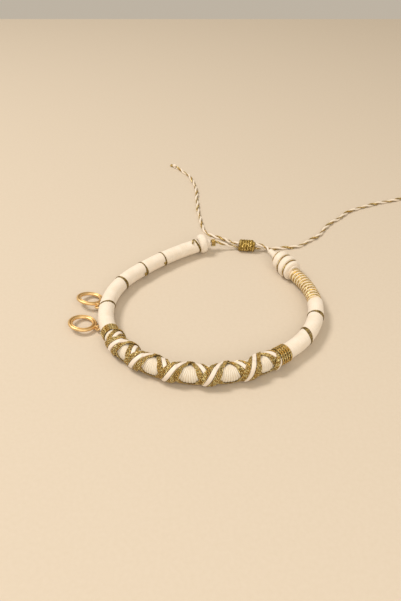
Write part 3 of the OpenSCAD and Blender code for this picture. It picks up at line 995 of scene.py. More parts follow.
    def end_knot(self, side: str, middle: Array, onward: Array, looks: Finishes) -> bpy.types.Object:
        """Ties the small round knot at a cord's end: a strand along a closed trefoil.

        Onward, across and up, the trefoil at t is (sin t + 2 sin 2t, -1.6 sin 3t, cos t - 2 cos 2t),
        scaled to the knot.

        Args:
            side: the cord's side.
            middle: the knot's middle.
            onward: the cord's direction there.
            looks: the finishes.

        Returns:
            The knot.
        """
        t = np.linspace(0, math.tau, 121)
        trefoil = [np.sin(t) + 2 * np.sin(2 * t), -1.6 * np.sin(3 * t), np.cos(t) - 2 * np.cos(2 * t)]
        scale = (self.end_knot_radius - self.end_knot_wire) / 3
        directions = np.stack([onward, unit(np.cross(onward, UP)), UP])
        path = middle + scale * np.stack(trefoil, axis=1) @ directions
        knot = self.end_knot_thread.along(path, unit(path - middle), self.end_knot_wire)
        line = StraightLine(middle, onward)
        heart = Winding(line, self.end_knot_heart, pitch=0.35, bore=0, around=24)
        return piece(f"{side}_cord_knot", "tied", Slot.WHITE, [knot, heart.patch()], looks.white)

    def whipping(self, side: str, middle: Array, onward: Array, looks: Finishes) -> bpy.types.Object:
        """Winds the gold thread round a cord's last stretch, as a helix over a fine winding.

        Args:
            side: the cord's side.
            middle: the whipping's middle.
            onward: the cord's direction there.
            looks: the finishes.

        Returns:
            The whipping.
        """
        line = StraightLine(middle, onward)
        turn = np.linspace(0, self.tip_turns, 161)
        s = (turn - self.tip_turns / 2) * self.tip_pitch
        thread = self.tip_thread.wound(line, s, turn * math.tau, self.tip_radius, self.tip_wire)
        core = Winding(line, self.tip_core, pitch=0.3, bore=0, around=20)
        return piece(f"{side}_cord_tip", "whipping", Slot.GOLD, [thread, core.patch()], looks.gold)

    def sliding_knot(self, looks: Finishes) -> None:
        """Ties the sliding knot: thick turns of metallic cord round the two cords, side by side.

        They follow a helix whose radius is the knot's radius less that of the turning cord, which is
        0.04 mm more than its share of the knot's length, so that neighbouring turns touch.
        """
        turned = math.radians(self.knot_turn)
        line = StraightLine(np.array(self.knot_middle), np.array([math.cos(turned), math.sin(turned), 0.0]))
        wire = self.knot_length / self.knot_turns / 2 + 0.04
        turn = np.linspace(-0.25, self.knot_turns + 0.25, 620)
        s = (turn / self.knot_turns - 0.5) * (self.knot_length - 2 * wire)
        reach = self.knot_radius - wire * 0.95
        turns = self.knot_thread.wound(line, s, turn * math.tau, reach, wire, flat=0.95)
        core = Winding(line, self.knot_core, pitch=0.5, bore=0.75, around=40)
        piece("sliding_knot", "tied", Slot.GOLD, [turns, core.patch()], looks.old_gold)

    def build(self, looks: Finishes) -> None:
        """Makes both cords and the knot that they slide in."""
        self.cord("left", np.array(self.left_route), looks)
        self.cord("right", np.array(self.right_route), looks)
        self.sliding_knot(looks)


# The band


@dataclass(frozen=True)
class WhiteWraps:
    """The sections of white thread wound over the core, between the gold turns."""

    axis: BandAxis
    radius: float = 2.8
    pitch: float = 0.5
    depth: float = 0.085
    gap: float = 0.05
    chamfer: tuple[float, float] = (0.15, 0.12)
    uneven: float = 0.03
    # The section at the left end is wound more loosely.
    loose: str = "left_wrap_1"
    loose_uneven: float = 0.09
    # Where each side's sections meet, along the band.
    left: tuple[float, ...] = (8.3, 25.65, 35.9, 48.0, 63.25, 77.025)
    right: tuple[float, ...] = (148.625, 160.1, 171.3, 179.85)

    def build(self, looks: Finishes) -> None:
        """Winds every section, with its edges a little drawn in."""
        half = self.gap / 2
        for side, edges in (("left", self.left), ("right", self.right)):
            for k, (s0, s1) in enumerate(zip(edges, edges[1:]), 1):
                node = f"{side}_wrap_{k}"
                profile = sleeve(s0 + half, s1 - half, self.radius, self.chamfer)
                uneven = self.loose_uneven if node == self.loose else self.uneven
                wound = Winding(self.axis, profile, pitch=self.pitch, depth=self.depth, uneven=uneven)
                piece(node, "turns", Slot.WHITE, [wound.patch()], looks.white)


@dataclass(frozen=True)
class Strip:
    """One strip of the crossed front: its edges, measured along the band from its own band's middle.

    Attributes:
        node: the CAD node that it stands for.
        layer: the band of strips that it belongs to.
        low: its first edge.
        high: its last edge.
        low_more: how much further out the first edge lies at the band's outer side.
        high_more: the same for the last edge.
        notch: how much is taken off the edge that bounds the notches at the band's top.
        bow: how much is taken off the edge beside the windows, halfway up them.
        low_drifts: whether the first edge drifts beside the right collar.
        high_drifts: whether the last edge does.
    """

    node: str
    layer: Layer
    low: float
    high: float
    low_more: float = 0.0
    high_more: float = 0.0
    notch: float = 0.0
    bow: float = 0.0
    low_drifts: bool = False
    high_drifts: bool = False

    def degrees(self, start: float, u: Array) -> Array:
        """The angle round the band after u turns, from the angle at which the bands cross."""
        return start + self.layer.value * 360 * u


@dataclass(frozen=True)
class CrossedFront:
    """The front of the band: a ribbed white wrap under two bands of strips that cross."""

    axis: BandAxis
    start: float = 80.4
    end: float = 143.9
    # The ribbed wrap: its radius, the ribs' spacing and depth, and how it is drawn in at its ends.
    radius: float = 2.8
    rib: float = 0.78
    rib_depth: float = 0.26
    chamfer: tuple[float, float] = (0.2, 0.1)
    # Where the ribs are drawn together, and where the wrap bulges, as plateaus of the angle in degrees.
    drawn: tuple[float, float, float, float] = (-40, 140, 190, 60)
    bulging: tuple[float, float, float, float] = (-120, 50, 25, 65)
    bulge: float = 0.22
    # The strips: how far out they lie, their thickness, and the width of a braid's threads.
    base: float = 2.9
    thickness: float = 0.42
    thread_width: float = 0.6
    thread: Thread = Thread(2, 1.9, 0.4)
    # Points along each turn round the band, of a braid's thread and of a ribbon.
    thread_points: int = 160
    ribbon_points: int = 72
    # How near to the lower band the upper one is raised, and the length of its slope.
    raised_within: float = 3.3
    slope: float = 1.3
    # Where the notches are, and where the lower ribbon sinks, as plateaus of the angle in degrees.
    notched: tuple[float, float, float, float] = (60, 50, 190, 40)
    sunk: tuple[float, float, float, float] = (-110, 15, -14, 14)
    sunk_by: float = 0.34
    # The angle at which the two bands cross in front, the crossings along the band, and beside the right
    # collar the turn from which the lower band drifts, and its rate.
    angle: float = 16.0
    crossings: tuple[float, ...] = (66.8, 76.4, 86.0, 96.2, 108.2, 120.4, 132.9, 144.0, 154, 164)
    turns: float = 7.4
    drifts_from: float = 6
    drift_rate: float = 1.2
    # The fans of gold thread below the windows: their upper and lower angles, and their threads.
    fan_top: float = -18
    fan_bottom: float = -78
    fan_threads: int = 6
    strips: tuple[Strip, ...] = (
        Strip("cross_under_gold_a", Layer.UNDER, -2.65, -0.95, low_more=0.7, bow=0.25, high_drifts=True),
        Strip("cross_under_white", Layer.UNDER, -0.85, 0.85, low_drifts=True, high_drifts=True),
        Strip(
            "cross_under_gold_b", Layer.UNDER, 0.95, 2.65,
            high_more=0.15, notch=0.85, low_drifts=True, high_drifts=True,
        ),
        Strip("cross_over_gold_a", Layer.OVER, -2.65, -0.95, low_more=0.4, notch=0.85),
        Strip("cross_over_white", Layer.OVER, -0.85, 0.85),
        Strip("cross_over_gold_b", Layer.OVER, 0.95, 2.65, high_more=0.5, bow=0.5),
    )  # fmt: skip

    def drift(self, u: Array) -> Array:
        """How much further the lower band has run after u turns, beside the right collar."""
        return self.drift_rate * np.maximum(u - self.drifts_from, 0) ** 2

    def place(self, u: Array) -> Array:
        """A band's place after u turns: the Catmull-Rom cubic through the crossings."""
        k = np.clip(np.floor(u), 0, len(self.crossings) - 4).astype(int)
        return catmull_rom(*(np.array(self.crossings)[k + i] for i in range(4)), u - k)

    def table(self) -> Array:
        """The turns at which places are worked out, to be read back from them."""
        return np.linspace(0, self.turns, 1500)

    def turns_at(self, s: Array) -> Array:
        """The number of turns after which a band is at s."""
        return np.interp(s, self.place(self.table()), self.table())

    def inside(self, s: Array) -> Array:
        """How far a place is inside the front, from its nearer end."""
        return np.minimum(s - self.start, self.end - s)

    def squeeze(self, s: Array) -> Array:
        """How thick the strips are: 1, falling to almost 0 over 1.6 mm where they go under the collars."""
        return ease(self.inside(s) / 1.6 + 0.05)

    def apart(self, s: Array, degrees: Array) -> Array:
        """The distance along the band from s to the nearest turn of the lower band at this angle."""
        v = (self.angle - degrees) / 360
        u = (v - np.floor(v))[..., None] + np.arange(-1, 8)
        far = np.abs(s[..., None] - self.place(u) - self.drift(u))
        return np.where((u < -0.5) | (u > 7.5), 99, far).min(axis=-1)

    def heights(self, layer: Layer, s: Array, degrees: Array) -> tuple[Array, Array]:
        """The lowest and highest distance of a strip from the band's axis.

        The lower band lies on the wrap. The upper one lies on it too, and rises by a little more than
        a strip's thickness where the lower band is near, with a smooth slope. Under the collars, where
        q = squeeze is small, the lower band is 0.28 + 0.72 q of its thickness and the upper one
        0.42 + 0.58 q, raised by 0.19 + 0.33 q.

        Args:
            layer: the strip's band.
            s: places along the band.
            degrees: angles round the band.

        Returns:
            The two distances.
        """
        q = self.squeeze(s)
        if layer is Layer.UNDER:
            return self.base + 0 * s, self.base + self.thickness * (0.28 + 0.72 * q)
        rise = 1 - ease((self.apart(s, degrees) - self.raised_within) / self.slope)
        low = self.base + (0.19 + 0.33 * q) * (1 - q * (1 - rise))
        return low, low + self.thickness * (0.42 + 0.58 * q)

    def fan(self, s: Array, angle: Array, _: Array | None = None) -> Array:
        """How far the ribs are pushed along the band, so that they fan out below each window's top.

        Between two crossings, at u turns, the shift is A * sin(tau * (u - 1/2)). A is 0.25 at the bottom
        of the window and falls to -1.1 at its top, which draws the ribs together there.
        """
        amount = 0.25 - 1.35 * plateau(signed(np.degrees(angle), 200), *self.drawn)
        return amount * np.sin(math.tau * (self.turns_at(s) - 0.5)) * ease(self.inside(s) / 3)

    def sag(self, s: Array, angle: Array) -> Array:
        """How far the wrap and its fans bulge at the bottom of each window: bulge * sin(pi u)^4 there."""
        low = plateau(signed(np.degrees(angle)), *self.bulging)
        return self.bulge * np.sin(math.pi * self.turns_at(s)) ** 4 * low * self.squeeze(s)

    def wrap(self, looks: Finishes) -> None:
        """Winds the ribbed white wrap."""
        profile = sleeve(self.start, self.end, self.radius, self.chamfer)
        wound = Winding(
            self.axis,
            profile,
            pitch=self.rib,
            depth=self.rib_depth,
            steps=8,
            around=96,
            uneven=0.03,
            shift=self.fan,
            swell=self.sag,
        )
        piece("front_base_wrap", "turns", Slot.WHITE, [wound.patch()], looks.ribbed)

    def run(self, u: Array, strip: Strip, share: float | Array) -> Array:
        """The place along the band of one line of a strip.

        After u turns the strip's edges are at place(u) + low - c * low_more and at
        place(u) + high + c * high_more, with c = max(0, cos(angle - 5 degrees))^2, and drift(u) on an
        edge that drifts. At the band's top the notch's edge draws back by its amount, and the other
        edge by bow * exp(-((angle - 74) / 22)^2). The line lies between them at its share.

        Args:
            u: turns.
            strip: the strip.
            share: 0 at the first edge, 1 at the other.

        Returns:
            The places.
        """
        degrees = strip.degrees(self.angle, u)
        c = np.maximum(np.cos(np.radians(degrees - 5)), 0) ** 2
        first = self.place(u) + strip.low - c * strip.low_more + strip.low_drifts * self.drift(u)
        last = self.place(u) + strip.high + c * strip.high_more + strip.high_drifts * self.drift(u)
        turned = degrees % 360
        notch = strip.notch * plateau(turned, *self.notched)
        bow = strip.bow * np.exp(-(((turned - 74) / 22) ** 2))
        if strip.layer is Layer.OVER:
            first, last = first + notch, last - bow
        else:
            first, last = first + bow, last - notch
        return first + (last - first) * share

    def span(self, strip: Strip, share: float, inset: float) -> tuple[float, float]:
        """The turns at which a strip's line enters and leaves the front."""
        s = np.maximum.accumulate(self.run(self.table(), strip, share))
        first, last = np.interp([self.start + inset, self.end - inset], s, self.table())
        return float(first), float(last)

    def braid(self, strip: Strip, looks: Finishes) -> None:
        """Lays a metallic strip: fine twisted threads side by side along the band's turns.

        A thread is 1.08 times as wide as its share of the strip, so that neighbours touch, and every other
        one lies 0.03 mm higher. A share wider than 1.2 thread widths counts as 1.2 of them.

        Args:
            strip: the strip.
            looks: the finishes.
        """
        threads = self.fans() if strip.node == "cross_under_gold_b" else []
        width = strip.high - strip.low + strip.low_more + strip.high_more
        count = round(width / self.thread_width)
        for k in range(count):
            share = (k + 0.5) / count
            first, last = self.span(strip, share, 0.15)
            u = np.linspace(first, last, int((last - first) * self.thread_points))
            s = self.run(u, strip, share)
            wide = (self.run(u, strip, 1) - self.run(u, strip, 0)) / count / 2
            degrees = strip.degrees(self.angle, u)
            low, high = self.heights(strip.layer, s, degrees)
            r = (low + high) / 2 + 0.03 * (k % 2)
            radius = np.minimum(wide, self.thread_width * 0.6) * 1.08
            flat = ((high - low) / 2 + 0.05) / radius
            angle = np.radians(degrees)
            threads.append(self.thread.wound(self.axis, s, angle, r, radius, Twist.by_turns(k), flat))
        piece(strip.node, "braid", Slot.GOLD, threads, looks.gold)

    def fans(self) -> list[Patch]:
        """Spreads the lower band's threads under each window, where they bound its lower edge.

        Between two crossings, with w from -1 to 1 across the window, a fan's upper edge is at the angle
        fan_top - 16 w^2 degrees, less 24 on the wrap's ribs, so that the ribs end in small teeth. It is
        0.14 mm thick at its edge and swells to a lip of up to 0.45 mm in the middle, with threads laid
        along it.

        Returns:
            One closed surface for each window.
        """
        made = []
        w = np.linspace(-1, 1, 97)[:, None]
        share = np.concatenate([np.linspace(0, 1, 37), np.linspace(1, 0, 5)])[None, :]
        for a, b in zip(self.crossings[1:7], self.crossings[2:8]):
            half = (b - a) / 2
            s = np.clip(a + half + (half - 0.2) * w, self.start + 0.1, self.end - 0.1)
            top = self.fan_top - 16 * w**2 - 24 * self.ribs_at(s, math.radians(self.fan_top))
            degrees = top + (self.fan_bottom - top) * share
            thread = np.abs(np.sin(self.fan_threads * math.pi * share + 1.2 * w))
            lip = (0.12 + 0.13 * (1 - w**2)) * plateau(share, 0, 0.5, 1.3, 0.7)
            outer = 0.14 + 0.07 * thread + lip
            outer[:, [0, 36]] = 0.02
            outer[:, 37:] = 0
            along = s + 0 * share
            angle = np.radians(degrees)
            r = self.radius + 0.04 + self.sag(along, angle) + outer
            # Painted shade: darkest at the fan's upper edge, beside the ribs' teeth, and between its threads.
            groove = np.clip(0.7 * np.exp(-share / 0.1) + 0.6 * (1 - thread), 0, 1)
            uv = np.stack([along, degrees * 0.05], axis=-1)
            made.append(Patch(self.axis.place(along, angle, r), uv, groove))
        return made

    def ribs_at(self, s: Array, angle: float) -> Array:
        """The height of the white wrap's ribs, 0 to 1, at places on the band at one angle."""
        z = np.linspace(self.start, self.end, 3000)
        pushed = z + self.fan(z, np.full_like(z, angle))
        long = self.end - self.start
        phase = (z - self.start) / long * max(1, round(long / self.rib)) - (angle / math.tau) % 1
        return np.interp(s, pushed, ridge(phase))

    def ribbon(self, strip: Strip, looks: Finishes) -> None:
        """Lays a white strip: a flat ribbon, slightly crowned, with rounded edges and three faint ribs.

        Across its width, w from -1 to 1, its upper side is at low + t * (0.2 + 0.8 * (1 - |w|^6)^(1/2))
        with a crown of 0.05 * (1 - w * w) and ribs of 0.012 * cos(3 pi w), and its lower side is at low.
        The lower band's ribbon sinks on the underside, where the spread threads cover it.

        Args:
            strip: the strip.
            looks: the finishes.
        """
        first = self.span(strip, 1.0, 0.1)[0]
        last = self.span(strip, 0.0, 0.1)[1]
        u = np.linspace(first, last, int((last - first) * self.ribbon_points))[:, None]
        w = np.concatenate([np.linspace(-1, 1, 15), np.linspace(0.97, -0.97, 5), [-1]])[None, :]
        upper = np.concatenate([np.ones(15), np.zeros(5), [1]])[None, :]
        s = np.clip(self.run(u, strip, (w + 1) / 2), self.start + 0.05, self.end - 0.05)
        degrees = np.broadcast_to(strip.degrees(self.angle, u), s.shape)
        low, high = self.heights(strip.layer, s, degrees)
        thick = high - low
        if strip.layer is Layer.UNDER:
            low = low - self.sunk_by * plateau(signed(degrees), *self.sunk)
        back = np.sqrt(np.maximum(1 - np.abs(w) ** 6, 0)) * 0.8 + 0.2
        crown = 0.05 * (1 - w * w) + 0.012 * np.cos(w * math.tau * 1.5)
        points = self.axis.place(s, np.radians(degrees), low + upper * (thick * back + crown))
        tip = points.mean(axis=1, keepdims=True)
        caps = [np.broadcast_to(tip[k], points[:1].shape) for k in (0, -1)]
        points = np.concatenate([caps[0], points, caps[1]])
        # One turn of a strip is about 22 mm long.
        along = np.concatenate([u[:1], u, u[-1:]]) * 22
        uv = np.stack(np.broadcast_arrays(w * (strip.high - strip.low) / 2, along), axis=-1)
        # Painted shade: the ribbon's rounded edges are darkened through the groove attribute.
        edge = np.broadcast_to(0.9 * np.abs(w) ** 6, uv.shape[:2])
        piece(strip.node, "ribbon", Slot.WHITE, [Patch(points, uv, edge)], looks.ribbon)

    def build(self, looks: Finishes) -> None:
        """Makes the wrap and the six strips."""
        self.wrap(looks)
        for strip in self.strips:
            lay = self.ribbon if strip.node.endswith("white") else self.braid
            lay(strip, looks)


@dataclass(frozen=True)
class Loop:
    """A few gold threads wound once round the band over its wraps, leaning, and wider at one side.

    Attributes:
        node: the CAD node that it stands for.
        middle: its place along the band.
        width: its least width.
        added: the width added on one side.
        added_at: the angle of that side, in degrees.
        lean: how far it leans towards an angle.
        towards: that angle, in degrees.
    """

    node: str
    middle: float
    width: float
    added: float = 0.0
    added_at: float = 0.0
    lean: float = 0.0
    towards: float = 0.0


@dataclass(frozen=True)
class GoldTurns:
    """Threads of metallic yarn wound round the band: single turns, bands, collars, and tied ends."""

    axis: BandAxis
    loops: tuple[Loop, ...] = (
        Loop("left_gold_turn_1", 25.65, 0.5, 0.6, 215),
        Loop("left_gold_turn_2", 35.9, 0.6, 0.9, 210),
        Loop("left_gold_turn_3", 48, 0.85, 0.5, 165, lean=0.1, towards=150),
        Loop("left_gold_turn_4", 63.2, 0.6, 0.25, 130, lean=0.95, towards=30),
        Loop("right_gold_band_1", 160.1, 0.8, 0.9, 70, lean=1.5, towards=188),
        Loop("right_gold_band_2", 171.3, 0.5, 1.1, 45),
        Loop("left_binding_gold", 8.4, 0.9, lean=0.95, towards=92),
    )
    # A loop's threads: half their width, their distance from the axis, their height as a share of their
    # width, and their make.
    loop_wire: float = 0.26
    loop_radius: float = 2.82
    loop_flat: float = 0.62
    loop_thread: Thread = Thread(2, 1.5, 0.34)
    # Each collar's node, first and last place along the band, and number of turns.
    collars: tuple[tuple[str, float, float, int], ...] = (
        ("left_gold_collar", 77.2, 80.2, 4),
        ("right_gold_collar", 144.1, 148.45, 5),
    )
    collar_radius: float = 2.84
    collar_thread: Thread = Thread(2, 1.7, 0.32, 14)
    # Tied ends: place and angle of one end, place and angle of the other, and radius.
    ties: tuple[tuple[float, float, float, float, float], ...] = (
        (11.4, 122, 10.3, 90, 0.35),
        (26.65, 170, 26.75, 188, 0.4),
        (37.3, 172, 37.25, 196, 0.42),
    )
    tie_height: float = 2.86
    tie_thread: Thread = Thread(2, 1.5, 0.3, 14)
    # The turns round the band's left tip.
    tip: tuple[float, ...] = (0.55, 1.1, 1.65)
    tip_radius: float = 1.24
    tip_wire: float = 0.3
    tip_thread: Thread = Thread(2, 1.4, 0.3)

    def loop(self, loop: Loop) -> list[Patch]:
        """Lays a loop's threads side by side.

        A thread is at middle + lean * cos(angle - towards), plus its own share of the width, which is
        width + added * max(0, cos(angle - added_at))^2. Where the loop is narrow its threads cross.

        Args:
            loop: the loop.

        Returns:
            One surface for each thread.
        """
        angle = np.linspace(0, math.tau, 181)
        middle = loop.middle + loop.lean * np.cos(angle - math.radians(loop.towards))
        side = np.maximum(np.cos(angle - math.radians(loop.added_at)), 0)
        inner = loop.width + loop.added * side**2 - 2 * self.loop_wire
        count = max(2, round((loop.width + loop.added) / (2 * self.loop_wire)))
        made = []
        for k, share in enumerate(np.linspace(-0.5, 0.5, count)):
            s = middle + share * inner
            r = self.loop_radius + (-0.03 if k % 2 else 0.03)
            wire, twist = self.loop_wire * 1.04, Twist.by_turns(k)
            made.append(self.loop_thread.wound(self.axis, s, angle, r, wire, twist, self.loop_flat))
        return made

    def collar(self, s0: float, s1: float, count: int) -> list[Patch]:
        """Lays a collar of twisted turns side by side, whose plies slant one way and then the other.

        Args:
            s0: where it begins along the band.
            s1: where it ends.
            count: how many turns it has.

        Returns:
            One surface for each turn.
        """
        angle = np.linspace(0, math.tau, 201)
        pitch = (s1 - s0) / count
        made = []
        for k in range(count):
            s = s0 + (k + 0.5) * pitch + 0.05 * np.sin(2 * angle + 1.9 * k)
            r, twist = self.collar_radius, Twist.by_turns(k)
            made.append(self.collar_thread.wound(self.axis, s, angle, r, pitch / 2, twist))
        return made

    def tie(self, s0: float, a0: float, s1: float, a1: float, radius: float) -> Patch:
        """Ties a thread's end down: two short thick plies over the wrap, drawn in at their middle.

        Args:
            s0: the place of one end along the band.
            a0: its angle in degrees.
            s1: the place of the other.
            a1: its angle.
            radius: the tie's radius.

        Returns:
            The surface.
        """
        t = np.linspace(0, 1, 41)
        size = radius * (1 - 0.22 * np.exp(-(((t - 0.5) / 0.12) ** 2)))
        s, angle = s0 + (s1 - s0) * t, np.radians(a0 + (a1 - a0) * t)
        return self.tie_thread.wound(self.axis, s, angle, self.tie_height + radius, size)

    def build(self, looks: Finishes) -> None:
        """Winds the loops, the collars and the band's tip, and ties the ends."""
        for loop in self.loops:
            piece(loop.node, "threads", Slot.GOLD, self.loop(loop), looks.dark_gold)
        for node, s0, s1, count in self.collars:
            piece(node, "threads", Slot.GOLD, self.collar(s0, s1, count), looks.gold)
        for k, tie in enumerate(self.ties, 1):
            piece(f"thread_knot_{k}", "tied", Slot.GOLD, [self.tie(*tie)], looks.old_gold)
        angle = np.linspace(0, math.tau, 101)
        turns = [self.tip_thread.wound(self.axis, s, angle, self.tip_radius, self.tip_wire) for s in self.tip]
        piece("left_tip_gold", "threads", Slot.GOLD, turns, looks.gold)


@dataclass(frozen=True)
class StripedTurns:
    """A white and a metallic thread wound side by side, so that their turns alternate."""

    axis: BandAxis
    pitch: float = 19 / 12
    radius: float = 2.6
    height: float = 0.3
    wire: Thread = Thread(2, 1.9, 0.14, 12)
    # The first gold turn is seen at 180.2 along the band, at 110 degrees.
    seen_at: float = 180.2
    seen_degrees: float = 110
    # Each thread's first and last turn, half its width, and how proud it stands.
    gold: tuple[float, float, float, float] = (0.29, 12.32, 0.44, 0.03)
    white: tuple[float, float, float, float] = (-0.1, 11.72, 0.42, -0.05)
    core: Outline = sleeve(179.9, 199.55, 2.2, (0.05, 0.25))

    def helix(self, start: float, first: float, last: float, half: float, proud: float) -> Patch:
        """One thread as a helix: after v turns it is at s = start + pitch * v.

        Args:
            start: its place along the band at no turns.
            first: the turns at which it begins.
            last: the turns at which it ends.
            half: half the thread's width.
            proud: how far it stands above the other.

        Returns:
            The surface.
        """
        v = np.linspace(first, last, int((last - first) * 110))
        r = self.radius - self.height + proud
        s = start + self.pitch * v
        return self.wire.wound(self.axis, s, math.tau * v, r, half, flat=self.height / half)

    def build(self, looks: Finishes) -> None:
        """Winds both threads, the white one over a fine hidden winding."""
        start = self.seen_at - self.pitch * self.seen_degrees / 360
        gold = self.helix(start, *self.gold)
        white = self.helix(start + self.pitch / 2, *self.white)
        core = Winding(self.axis, self.core, pitch=0.8, around=48, steps=4)
        piece("striped_gold_turns", "thread", Slot.GOLD, [gold], looks.gold)
        piece("striped_white_turns", "thread", Slot.WHITE, [white, core.patch()], looks.beige)


@dataclass(frozen=True)
class EndBindings:
    """The tapered bindings that close the band's two ends over the cords."""

    axis: BandAxis
    # The right one lies on the line that touches the band's axis here, raised by so much.
    right_at: float = 208.0
    right_rise: float = 0.55
    # Its outline before the coils and after them, and each coil: from, to, radius and rounding.
    foot: Outline = ((199.65, 2.2), (199.8, 2.6), (200.3, 2.7))
    coils: tuple[tuple[float, float, float, float], ...] = (
        (200.3, 202.3, 3.95, 0.9),
        (202.9, 206.2, 4.3, 1.2),
        (206.85, 210.7, 3.9, 1.3),
    )
    taper: Outline = ((210.9, 2.6), (211.7, 2.3), (212.8, 1.6), (214.5, 1.25), (217.0, 1.1), (217.0, 0.86))
    # The coils' tilt, in degrees, at places along the binding.
    tilts: Outline = ((199.7, 0), (201.3, 7), (204.5, 9), (208.8, 12), (211.1, 11), (215, 0))
    # The gold threads between the coils: place and radius, half their width, and their make.
    threads: Outline = ((202.6, 3.68), (206.5, 3.83), (211.1, 2.8))
    thread_wire: float = 0.24
    thread: Thread = Thread(2, 1.3, 0.3)
    # The left one: a neck that lies level, and a thick coil raised a little.
    left_at: float = 5.5
    left_rise: float = 0.45
    neck: Outline = ((2.65, 0.9), (2.65, 1.5), (3.1, 1.6), (5.0, 2.9), (5.6, 2.9))
    thick: tuple[float, float, float, float] = (4.4, 7.8, 3.95, 1.5)

    def lean(self, s: Array, angle: Array, r: float | Array) -> Array:
        """How far a tilted coil's point lies along: tan(tilt) * r * cos(angle), the tilt read at s."""
        tilt = np.interp(s, *np.array(self.tilts).T)
        return np.tan(np.radians(tilt)) * r * np.cos(angle)

    @staticmethod
    def coil(s0: float, s1: float, radius: float, rounding: float) -> Outline:
        """The outline of one thick coil: a straight back with a quarter circle at each end."""
        a = np.linspace(0, math.pi / 2, 8)
        inward, height = rounding * (1 - np.cos(a)), radius - rounding * (1 - np.sin(a))
        up, down = np.stack([s0 + inward, height], axis=1), np.stack([s1 - inward, height], axis=1)
        return tuple(map(tuple, np.vstack([up, down[::-1]])))

    def right(self, looks: Finishes) -> None:
        """Winds the right binding's three tilted coils, and lays the gold threads in their valleys."""
        line = self.axis.straight(self.right_at, self.right_rise)
        outline = self.foot + sum((self.coil(*coil) for coil in self.coils), ()) + self.taper
        coils = Winding(
            line,
            outline,
            pitch=0.56,
            depth=0.09,
            bore=0.85,
            steps=7,
            uneven=0.04,
            shift=self.lean,
        )
        piece("right_end_binding", "turns", Slot.WHITE, [coils.patch()], looks.white)
        angle = np.linspace(0, math.tau, 141)
        rings = [
            self.thread.wound(line, s + self.lean(s, angle, radius), angle, radius, self.thread_wire)
            for s, radius in self.threads
        ]
        piece("right_binding_gold", "thread", Slot.GOLD, rings, looks.gold)

    def left(self, looks: Finishes) -> None:
        """Winds the left binding's neck and thick coil."""
        parts = ((0.0, self.neck, 0.85), (self.left_rise, self.coil(*self.thick), 1.3))
        wound = []
        for rise, outline, bore in parts:
            line = self.axis.straight(self.left_at, rise)
            coil = Winding(line, outline, pitch=0.52, depth=0.08, bore=bore, steps=7, uneven=0.03)
            wound.append(coil.patch())
        piece("left_end_binding", "turns", Slot.WHITE, wound, looks.white)

    def build(self, looks: Finishes) -> None:
        """Winds both bindings."""
        self.right(looks)
        self.left(looks)


@dataclass(frozen=True)
class Hanging:
    """How one hoop hangs. Its angles are in degrees.

    Attributes:
        name: "front" or "back".
        s: where along the band its jump ring is.
        angle: at which angle round the band that is.
        turn: how far the hoop swings about the jump ring's middle, along the band.
        slope: how far its outer end slopes down.
        roll: how far it rolls about its own length.
    """

    name: str
    s: float
    angle: float
    turn: float
    slope: float
    roll: float


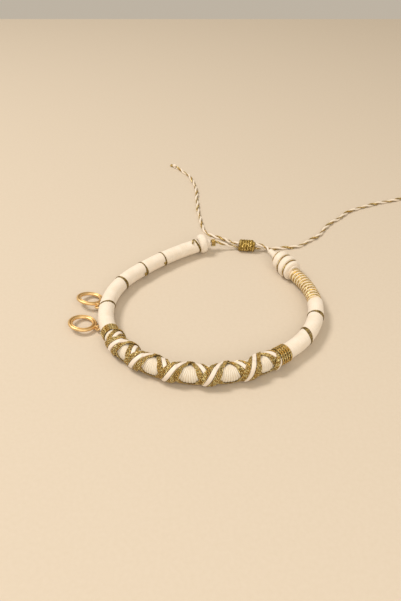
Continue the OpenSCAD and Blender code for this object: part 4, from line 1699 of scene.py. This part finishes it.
@dataclass(frozen=True)
class HoopCharms:
    """Two plain hoops that hang on jump rings from the band."""

    axis: BandAxis
    hoop_radius: float = 4.25
    # Half the hoop's section, across and upright, and the depth of its grooves as a share of the second.
    hoop_section: tuple[float, float, float] = (0.86, 0.62, 0.6)
    eye_radius: float = 0.7
    eye_section: tuple[float, float, float] = (0.25, 0.25, 0)
    # How far the hoop's near side lies from the eye's middle.
    eye_reach: float = 1.37
    jump_radius: float = 1.05
    jump_section: tuple[float, float, float] = (0.27, 0.27, 0)
    # How far the jump ring's middle lies from the band's axis.
    jump_out: float = 3.65
    hangings: tuple[Hanging, ...] = (
        Hanging("front", 72.2, -34, 31, -5, 9),
        Hanging("back", 62.2, -14, 52, 5, 14),
    )

    @staticmethod
    def ring(middle: Array, x: Array, y: Array, radius: float, section: tuple[float, float, float]) -> Patch:
        """A ring of wire with a round or flattened section, which may have a groove along each flat side.

        The ring's line is middle + radius * (cos t * x + sin t * y). At the angle a round the wire the
        surface is wide * cos a outwards and high * sin a * (1 - deep * notch) upright, where the notch is
        exp(-(cos a / 0.24)^2).

        Args:
            middle: the ring's middle.
            x: one direction in its plane.
            y: the other.
            radius: its radius to the wire's middle.
            section: wide, high and deep.

        Returns:
            The surface.
        """
        t = np.linspace(0, math.tau, 145)[:, None]
        a = np.linspace(0, math.tau, 49)[None, :]
        out = np.cos(t)[..., None] * x + np.sin(t)[..., None] * y
        wide, high, deep = section
        notch = np.exp(-((np.cos(a) / 0.24) ** 2)) * (deep > 0)
        upright = high * np.sin(a) * (1 - deep * notch)
        points = middle + (radius + wide * np.cos(a))[..., None] * out + upright[..., None] * np.cross(x, y)
        uv = np.stack(np.broadcast_arrays(t * radius, a * wide), axis=-1)
        # The notch is the groove value, which the brass finish paints as shade in the hoop's grooves.
        return Patch(points, uv, np.broadcast_to(notch, uv.shape[:2]))

    def build(self, looks: Finishes) -> None:
        """Makes each hoop with its soldered eye, and the jump ring that it hangs on."""
        for how in self.hangings:
            angle, turn, slope, roll = np.radians([how.angle, how.turn, how.slope, how.roll])
            middle, onward, _ = self.axis.frame(np.array(how.s))
            away = self.axis.radial(how.s, angle)
            jump = middle + self.jump_out * away
            hang = math.cos(turn) * away - math.sin(turn) * onward
            eye = jump + self.jump_radius * hang
            level = unit(hang * [1, 1, 0])
            across = np.cross(UP, level)
            along = math.cos(slope) * level - math.sin(slope) * UP
            side = math.cos(roll) * across + math.sin(roll) * np.cross(along, across)
            centre = eye + (self.eye_reach + self.hoop_radius) * along
            hoop = [
                self.ring(centre, along, side, self.hoop_radius, self.hoop_section),
                self.ring(eye, along, np.cross(along, side), self.eye_radius, self.eye_section),
            ]
            piece(f"hoop_{how.name}", "wire", Slot.METAL, hoop, looks.brass)
            link = self.ring(jump, away, onward, self.jump_radius, self.jump_section)
            piece(f"jump_ring_{how.name}", "wire", Slot.METAL, [link], looks.brass)


def dress_core(frame: dict[str, Any], looks: Finishes) -> None:
    """Gives the hidden core rope, which keeps its CAD shape, its cotton finish."""
    core = frame["nodes"]["core_rope"]
    core.data.materials.clear()
    core.data.materials.append(looks.core)
    LOG.info("core_rope: keeps its CAD shape")


def main() -> None:
    """Loads the frame, makes the camera and the cords, then every other piece in order."""
    logging.basicConfig(level=logging.INFO, format="%(name)s: %(message)s")
    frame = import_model()
    studio = Studio()
    studio.camera()
    looks = Finishes.made()
    ClosingCords().build(looks)
    axis = BandAxis()
    for part in (WhiteWraps, CrossedFront, GoldTurns, StripedTurns, EndBindings, HoopCharms):
        part(axis).build(looks)
    dress_core(frame, looks)
    studio.ground()
    studio.light()


if __name__ == "__main__":
    main()
